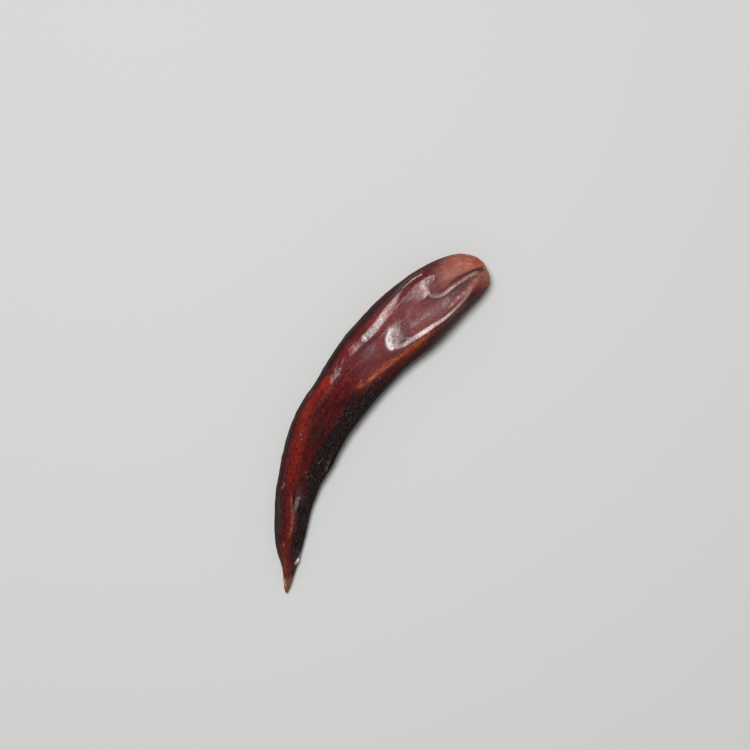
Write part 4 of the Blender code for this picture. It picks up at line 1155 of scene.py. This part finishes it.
def skin_material():
    material = bpy.data.materials.new("chili_skin")
    n = Nodes(material)
    flow = n.vector("flow")
    streaks = n.noise(n.scaled(flow, (0.10, 0.85, 0.85)), 1.0, 4.0, 0.6, 0.4)
    hairs = n.noise(n.scaled(flow, (0.42, 1.9, 1.9)), 1.0, 3.0, 0.62, 0.5)
    clouds = n.noise(n.scaled(flow, (0.16, 0.30, 0.30)), 1.0, 3.0, 0.55)
    mottle = n.noise(n.scaled(flow, (0.9, 1.3, 1.3)), 1.0, 4.0, 0.65)
    fleck = n.noise(n.scaled(flow, (2.6, 3.4, 3.4)), 1.0, 2.0, 0.6)
    grit = n.noise(n.scaled(flow, (1.5, 1.9, 1.9)), 1.0, 3.0, 0.7)

    base = n.ramp(clouds, [(0.32, srgb(66, 10, 15)[:3]), (0.50, srgb(92, 15, 19)[:3]),
                           (0.68, srgb(114, 24, 24)[:3])])
    streaky = n.value("streaky")
    base = n.mix(n.math("MULTIPLY", streaky, n.span(streaks, 0.50, 0.72, 0.0, 0.60)), base, srgb(44, 8, 13))
    base = n.mix(n.math("MULTIPLY", streaky, n.span(streaks, 0.50, 0.28, 0.0, 0.42)), base, srgb(140, 34, 28))
    # painted light: glowing red along the band and lighter red on the top of the wide half
    base = n.mix(n.math("MULTIPLY", n.value("bright_red_and_lit_top"),
                        n.span(mottle, 0.36, 0.58, 0.45, 1.0)), base, srgb(170, 30, 21))
    hair_dark = n.math("MULTIPLY", streaky, n.span(hairs, 0.52, 0.66, 0.0, 0.55))
    base = n.mix(hair_dark, base, srgb(44, 9, 14))
    base = n.mix(n.math("MULTIPLY", streaky, n.span(hairs, 0.46, 0.34, 0.0, 0.28)), base, srgb(150, 46, 32))
    # dark skin and painted shade; the grey grit in it is painted glints
    dark_mask = n.math("MULTIPLY", n.value("dark"), n.span(mottle, 0.34, 0.62, 1.0, 0.80))
    base = n.mix(dark_mask, base, n.mix(n.span(grit, 0.50, 0.64), srgb(6, 6, 7), srgb(58, 52, 53)))
    # painted dim reflection in grey-brown
    base = n.mix(n.math("MULTIPLY", n.value("painted_dim_reflection"), 0.8), base, srgb(62, 46, 40))
    # painted sheen in violet-grey, over a faint tint of the skin
    base = n.mix(n.math("MULTIPLY", n.value("mauve_tint_and_sheen"), n.span(mottle, 0.35, 0.6, 0.30, 0.65)),
                 base, srgb(96, 60, 64))
    pink_mask = n.math("MULTIPLY", n.value("pink"), n.span(mottle, 0.30, 0.60, 0.72, 1.0))
    rosy = n.mix(n.span(streaks, 0.35, 0.65), srgb(180, 112, 105), srgb(158, 90, 84))
    rosy = n.mix(n.value("stem"), rosy, n.mix(n.span(streaks, 0.38, 0.60), srgb(206, 122, 90), srgb(180, 95, 73)))
    base = n.mix(pink_mask, base, rosy)
    orange_mask = n.math("MULTIPLY", n.value("orange"), n.span(hairs, 0.58, 0.40, 0.45, 1.0))
    base = n.mix(orange_mask, base, n.mix(n.span(mottle, 0.38, 0.62), srgb(184, 66, 26), srgb(196, 112, 46)))
    base = n.mix(n.value("rust"), base, srgb(166, 78, 40))
    base = n.mix(n.math("MULTIPLY", n.value("olive"), 0.80), base, srgb(62, 44, 38))
    base = n.mix(n.math("MULTIPLY", n.value("tan"), n.span(mottle, 0.25, 0.6, 0.60, 0.95)),
                 base, srgb(186, 124, 88))
    # painted highlight in pale pink
    base = n.mix(n.value("pale"), base, srgb(178, 132, 124))
    base = n.mix(n.math("MULTIPLY", n.value("specks"), 0.85), base, srgb(24, 12, 16))
    flecked = n.mix(1.0, base, n.ramp(fleck, [(0.34, (0.52, 0.48, 0.48)), (0.50, (1.0, 1.0, 1.0)),
                                              (0.66, (1.55, 1.52, 1.50))]), "MULTIPLY")
    base = n.mix(n.math("SUBTRACT", 0.85, n.math("MULTIPLY", n.value("pink"), 0.55)), base, flecked)
    gritted = n.mix(1.0, base, n.ramp(grit, [(0.36, (0.47, 0.47, 0.47)), (0.50, (1.0, 1.0, 1.0)),
                                             (0.64, (1.68, 2.10, 2.10))]), "MULTIPLY")
    base = n.mix(n.math("SUBTRACT", n.span(streaky, 0.30, 1.0, 0.74, 0.95), n.math("MULTIPLY", n.math("MAXIMUM", n.math("MAXIMUM", n.value("orange"), n.value("tan")),
                                                                 n.math("MAXIMUM", n.value("pink"), n.value("mauve_tint_and_sheen"))), 0.62)), base, gritted)
    # darker towards the tip, and painted shade
    base = n.mix(n.value("dark_tone_and_shade"), base, n.mix(1.0, base, (0.36, 0.30, 0.31, 1.0), "MULTIPLY"))
    # painted sheen on the top of the wide half
    base = n.mix(n.math("MULTIPLY", n.value("painted_top_sheen"), 0.16), base, srgb(138, 116, 122))
    dots = n.cells(n.scaled(flow, (0.85, 0.85, 0.85)), 1.0)
    base = n.mix(n.math("MULTIPLY", n.span(dots, 0.11, 0.05, 0.0, 0.50), n.span(clouds, 0.54, 0.66)),
                 base, srgb(168, 104, 86))
    # painted highlight: the colour turns grey-violet, then pale, where the skin is most polished
    base = n.mix(n.span(n.value("gloss"), 0.36, 0.90, 0.0, 0.48), base, srgb(96, 70, 75))
    base = n.mix(n.span(n.value("gloss"), 0.85, 1.30, 0.0, 0.50), base, srgb(166, 142, 145))
    # painted highlights in pale pinkish white
    base = n.mix(n.value("painted_glints"), base, srgb(206, 176, 166))
    n.put(n.shader, "Base Color", base)

    grain_a = n.cells(n.scaled(flow, (0.85, 1.2, 1.2)), 1.0, "SMOOTH_F1", 1.0)
    grain_b = n.noise(n.scaled(flow, (1.7, 2.3, 2.3)), 1.0, 3.0, 0.65)
    creases = n.noise(n.scaled(flow, (0.35, 2.2, 2.2)), 1.0, 3.0, 0.6, 0.6)
    height = n.math("ADD", n.math("MULTIPLY", grain_a, 0.8),
                    n.math("ADD", n.math("MULTIPLY", grain_b, 0.9),
                           n.math("MULTIPLY", creases, 0.6)))
    normal = n.bump(height, 1.0, 0.000045)
    n.put(n.shader, "Normal", normal)

    rough = n.span(mottle, 0.25, 0.75, 0.55, 0.68)
    rough = n.math("SUBTRACT", rough, n.math("MULTIPLY", n.value("gloss"), 0.26))
    rough = n.math("ADD", rough, n.math("MULTIPLY", n.value("tan"), 0.10), clamp=True)
    n.put(n.shader, "Roughness", rough)
    n.shader.inputs["IOR"].default_value = 1.24
    n.put(n.shader, "Coat Weight", n.math("MULTIPLY", n.value("gloss"), 0.75, clamp=True))
    n.shader.inputs["Coat IOR"].default_value = 1.60
    n.shader.inputs["Coat Roughness"].default_value = 0.24
    n.put(n.shader, "Coat Normal", normal)
    return material


skin.data.materials.append(skin_material())
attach(skin, "root")
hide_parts("pod")


# ----------------------------------------------------------- calyx remnant
def calyx_points():
    """Ragged, fibrous disc sunk in the stem end: rings from its back to its face."""
    around = 220
    angle = np.linspace(0.0, 2.0 * math.pi, around, endpoint=False)
    one = np.stack([np.cos(angle), np.sin(angle), np.zeros(around)], -1)
    ragged = layered(one * 2.1, 7, 3)
    teeth = layered(one * 6.5, 9, 2)
    reach = 2.34 + 0.18 * ragged
    profile = [(0.02, 0.96), (0.45, 0.95), (0.86, 0.88), (0.97, 0.66), (1.0, 0.36),
               (1.02, 0.08), (1.05, -0.14), (1.075, -0.34)]
    rows = []
    for share, depth in profile:
        r = reach * share
        rows.append((r, np.full(around, depth)))
    rim_out = -0.42 - 0.26 * ragged - 0.30 * teeth
    for k in range(60):
        t = k / 59.0
        share = 1.06 * (1.0 - t) ** 0.9 + 0.004
        fibre = layered(np.stack([np.cos(angle) * 9.0, np.sin(angle) * 9.0,
                                  np.full(around, 2.2 * t)], -1), 13, 2)
        coarse = layered(np.stack([np.cos(angle) * share * 2.2, np.sin(angle) * share * 2.2,
                                   np.full(around, 0.4)], -1), 19, 3)
        dish = 0.62 * ease(t / 0.40) - 0.26 * ease((t - 0.45) / 0.45)
        depth = (rim_out * (1.0 - ease(t / 0.25)) - 0.42 * ease(t / 0.25)
                 + dish + 0.17 * fibre * (1.0 - t) + 0.34 * coarse)
        rows.append((reach * share * (1.0 + 0.02 * fibre), depth))
    points = np.concatenate([
        END_CENTRE + END_INWARD * depth[:, None]
        + END_SIDE * (r * np.cos(angle))[:, None]
        + np.array([0, 0, 1.0]) * (r * np.sin(angle))[:, None]
        for r, depth in rows])
    return points, len(rows), around, rows, angle


cal_points, cal_rows, cal_around, rows, cal_angle = calyx_points()
cal_index = np.arange(cal_rows * cal_around).reshape(cal_rows, cal_around)
cal_next = np.roll(cal_index, -1, axis=1)
cal_quads = np.stack([cal_index[:-1], cal_next[:-1], cal_next[1:], cal_index[1:]], -1).reshape(-1, 4)
cal_faces = cal_quads.tolist() + [cal_index[0][::-1].tolist(), cal_index[-1].tolist()]
calyx = mesh_from("calyx", cal_points + ORIGIN, cal_faces)
radial = np.concatenate([np.stack([r, cal_angle * 2.3, depth], -1) for r, depth in rows])
add_value(calyx, "radial", radial)
ring_polar = np.concatenate([np.stack([np.cos(cal_angle) * 6.0, np.sin(cal_angle) * 6.0, r], -1)
                             for r, depth in rows])
add_value(calyx, "polar", ring_polar)


def calyx_material():
    material = bpy.data.materials.new("dry_calyx_fibre")
    n = Nodes(material)
    polar = n.vector("polar")
    fibres = n.noise(n.scaled(polar, (2.4, 2.4, 0.6)), 1.0, 4.0, 0.65)
    patches = n.noise(n.scaled(polar, (0.35, 0.35, 1.1)), 1.0, 3.0, 0.6)
    colour = n.ramp(fibres, [(0.30, srgb(124, 74, 40)[:3]), (0.50, srgb(182, 132, 82)[:3]),
                             (0.70, srgb(214, 176, 122)[:3])])
    colour = n.mix(n.span(patches, 0.46, 0.66, 0.0, 0.85), colour, srgb(120, 58, 32))
    colour = n.mix(n.span(patches, 0.42, 0.25, 0.0, 0.5), colour, srgb(214, 180, 120))
    n.put(n.shader, "Base Color", colour)
    n.put(n.shader, "Roughness", n.span(fibres, 0.3, 0.7, 0.70, 0.92))
    n.put(n.shader, "Normal", n.bump(fibres, 1.0, 0.00012))
    n.shader.inputs["IOR"].default_value = 1.4
    return material


calyx.data.materials.append(calyx_material())
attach(calyx, "root")
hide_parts("calyx_remnant")


# ------------------------------------------------------ floor, light, camera
floor_mesh = bpy.data.meshes.new("floor")
floor_mesh.from_pydata([(-1.6, -1.6, 0), (1.6, -1.6, 0), (1.6, 1.6, 0), (-1.6, 1.6, 0)], [], [(0, 1, 2, 3)])
floor = bpy.data.objects.new("floor", floor_mesh)
bpy.context.scene.collection.objects.link(floor)
floor_material = bpy.data.materials.new("pale_floor")
floor_material.use_nodes = True
floor_shader = floor_material.node_tree.nodes["Principled BSDF"]
floor_shader.inputs["Base Color"].default_value = (0.72, 0.72, 0.71, 1.0)
floor_shader.inputs["Roughness"].default_value = 0.9
floor_shader.inputs["Specular IOR Level"].default_value = 0.1
floor.data.materials.append(floor_material)

world = bpy.data.worlds.new("studio")
bpy.context.scene.world = world
world.use_nodes = True
world.node_tree.nodes["Background"].inputs["Color"].default_value = (1.0, 1.0, 1.0, 1.0)
world.node_tree.nodes["Background"].inputs["Strength"].default_value = 0.20


def area_light(name, towards, distance, size_x, size_y, power, aim=AIM):
    lamp = bpy.data.lights.new(name, "AREA")
    lamp.shape = "RECTANGLE"
    lamp.size, lamp.size_y, lamp.energy = size_x, size_y, power
    obj = bpy.data.objects.new(name, lamp)
    bpy.context.scene.collection.objects.link(obj)
    obj.location = aim + towards.normalized() * distance
    obj.rotation_mode = "QUATERNION"
    obj.rotation_quaternion = (aim - obj.location).to_track_quat("-Z", "Y")
    return obj


area_light("key", KEY_TOWARDS, KEY_DISTANCE, 0.26, 0.26, 6.9)

camera_data = bpy.data.cameras.new("camera")
camera = bpy.data.objects.new("camera", camera_data)
bpy.context.scene.collection.objects.link(camera)
camera_data.sensor_width = 36.0
camera_data.lens = 36.0 * EYE_DISTANCE / (750 * GRID * MM)
camera_data.clip_start, camera_data.clip_end = 0.01, 20.0
camera.location = to_row(*PLAN_MIDDLE, 0.008 + EYE_DISTANCE)
camera.rotation_mode = "QUATERNION"
camera.rotation_quaternion = Matrix((IMAGE_RIGHT, IMAGE_UP, UP)).transposed().to_quaternion()
bpy.context.scene.camera = camera
bpy.context.scene.view_settings.view_transform = "Standard"
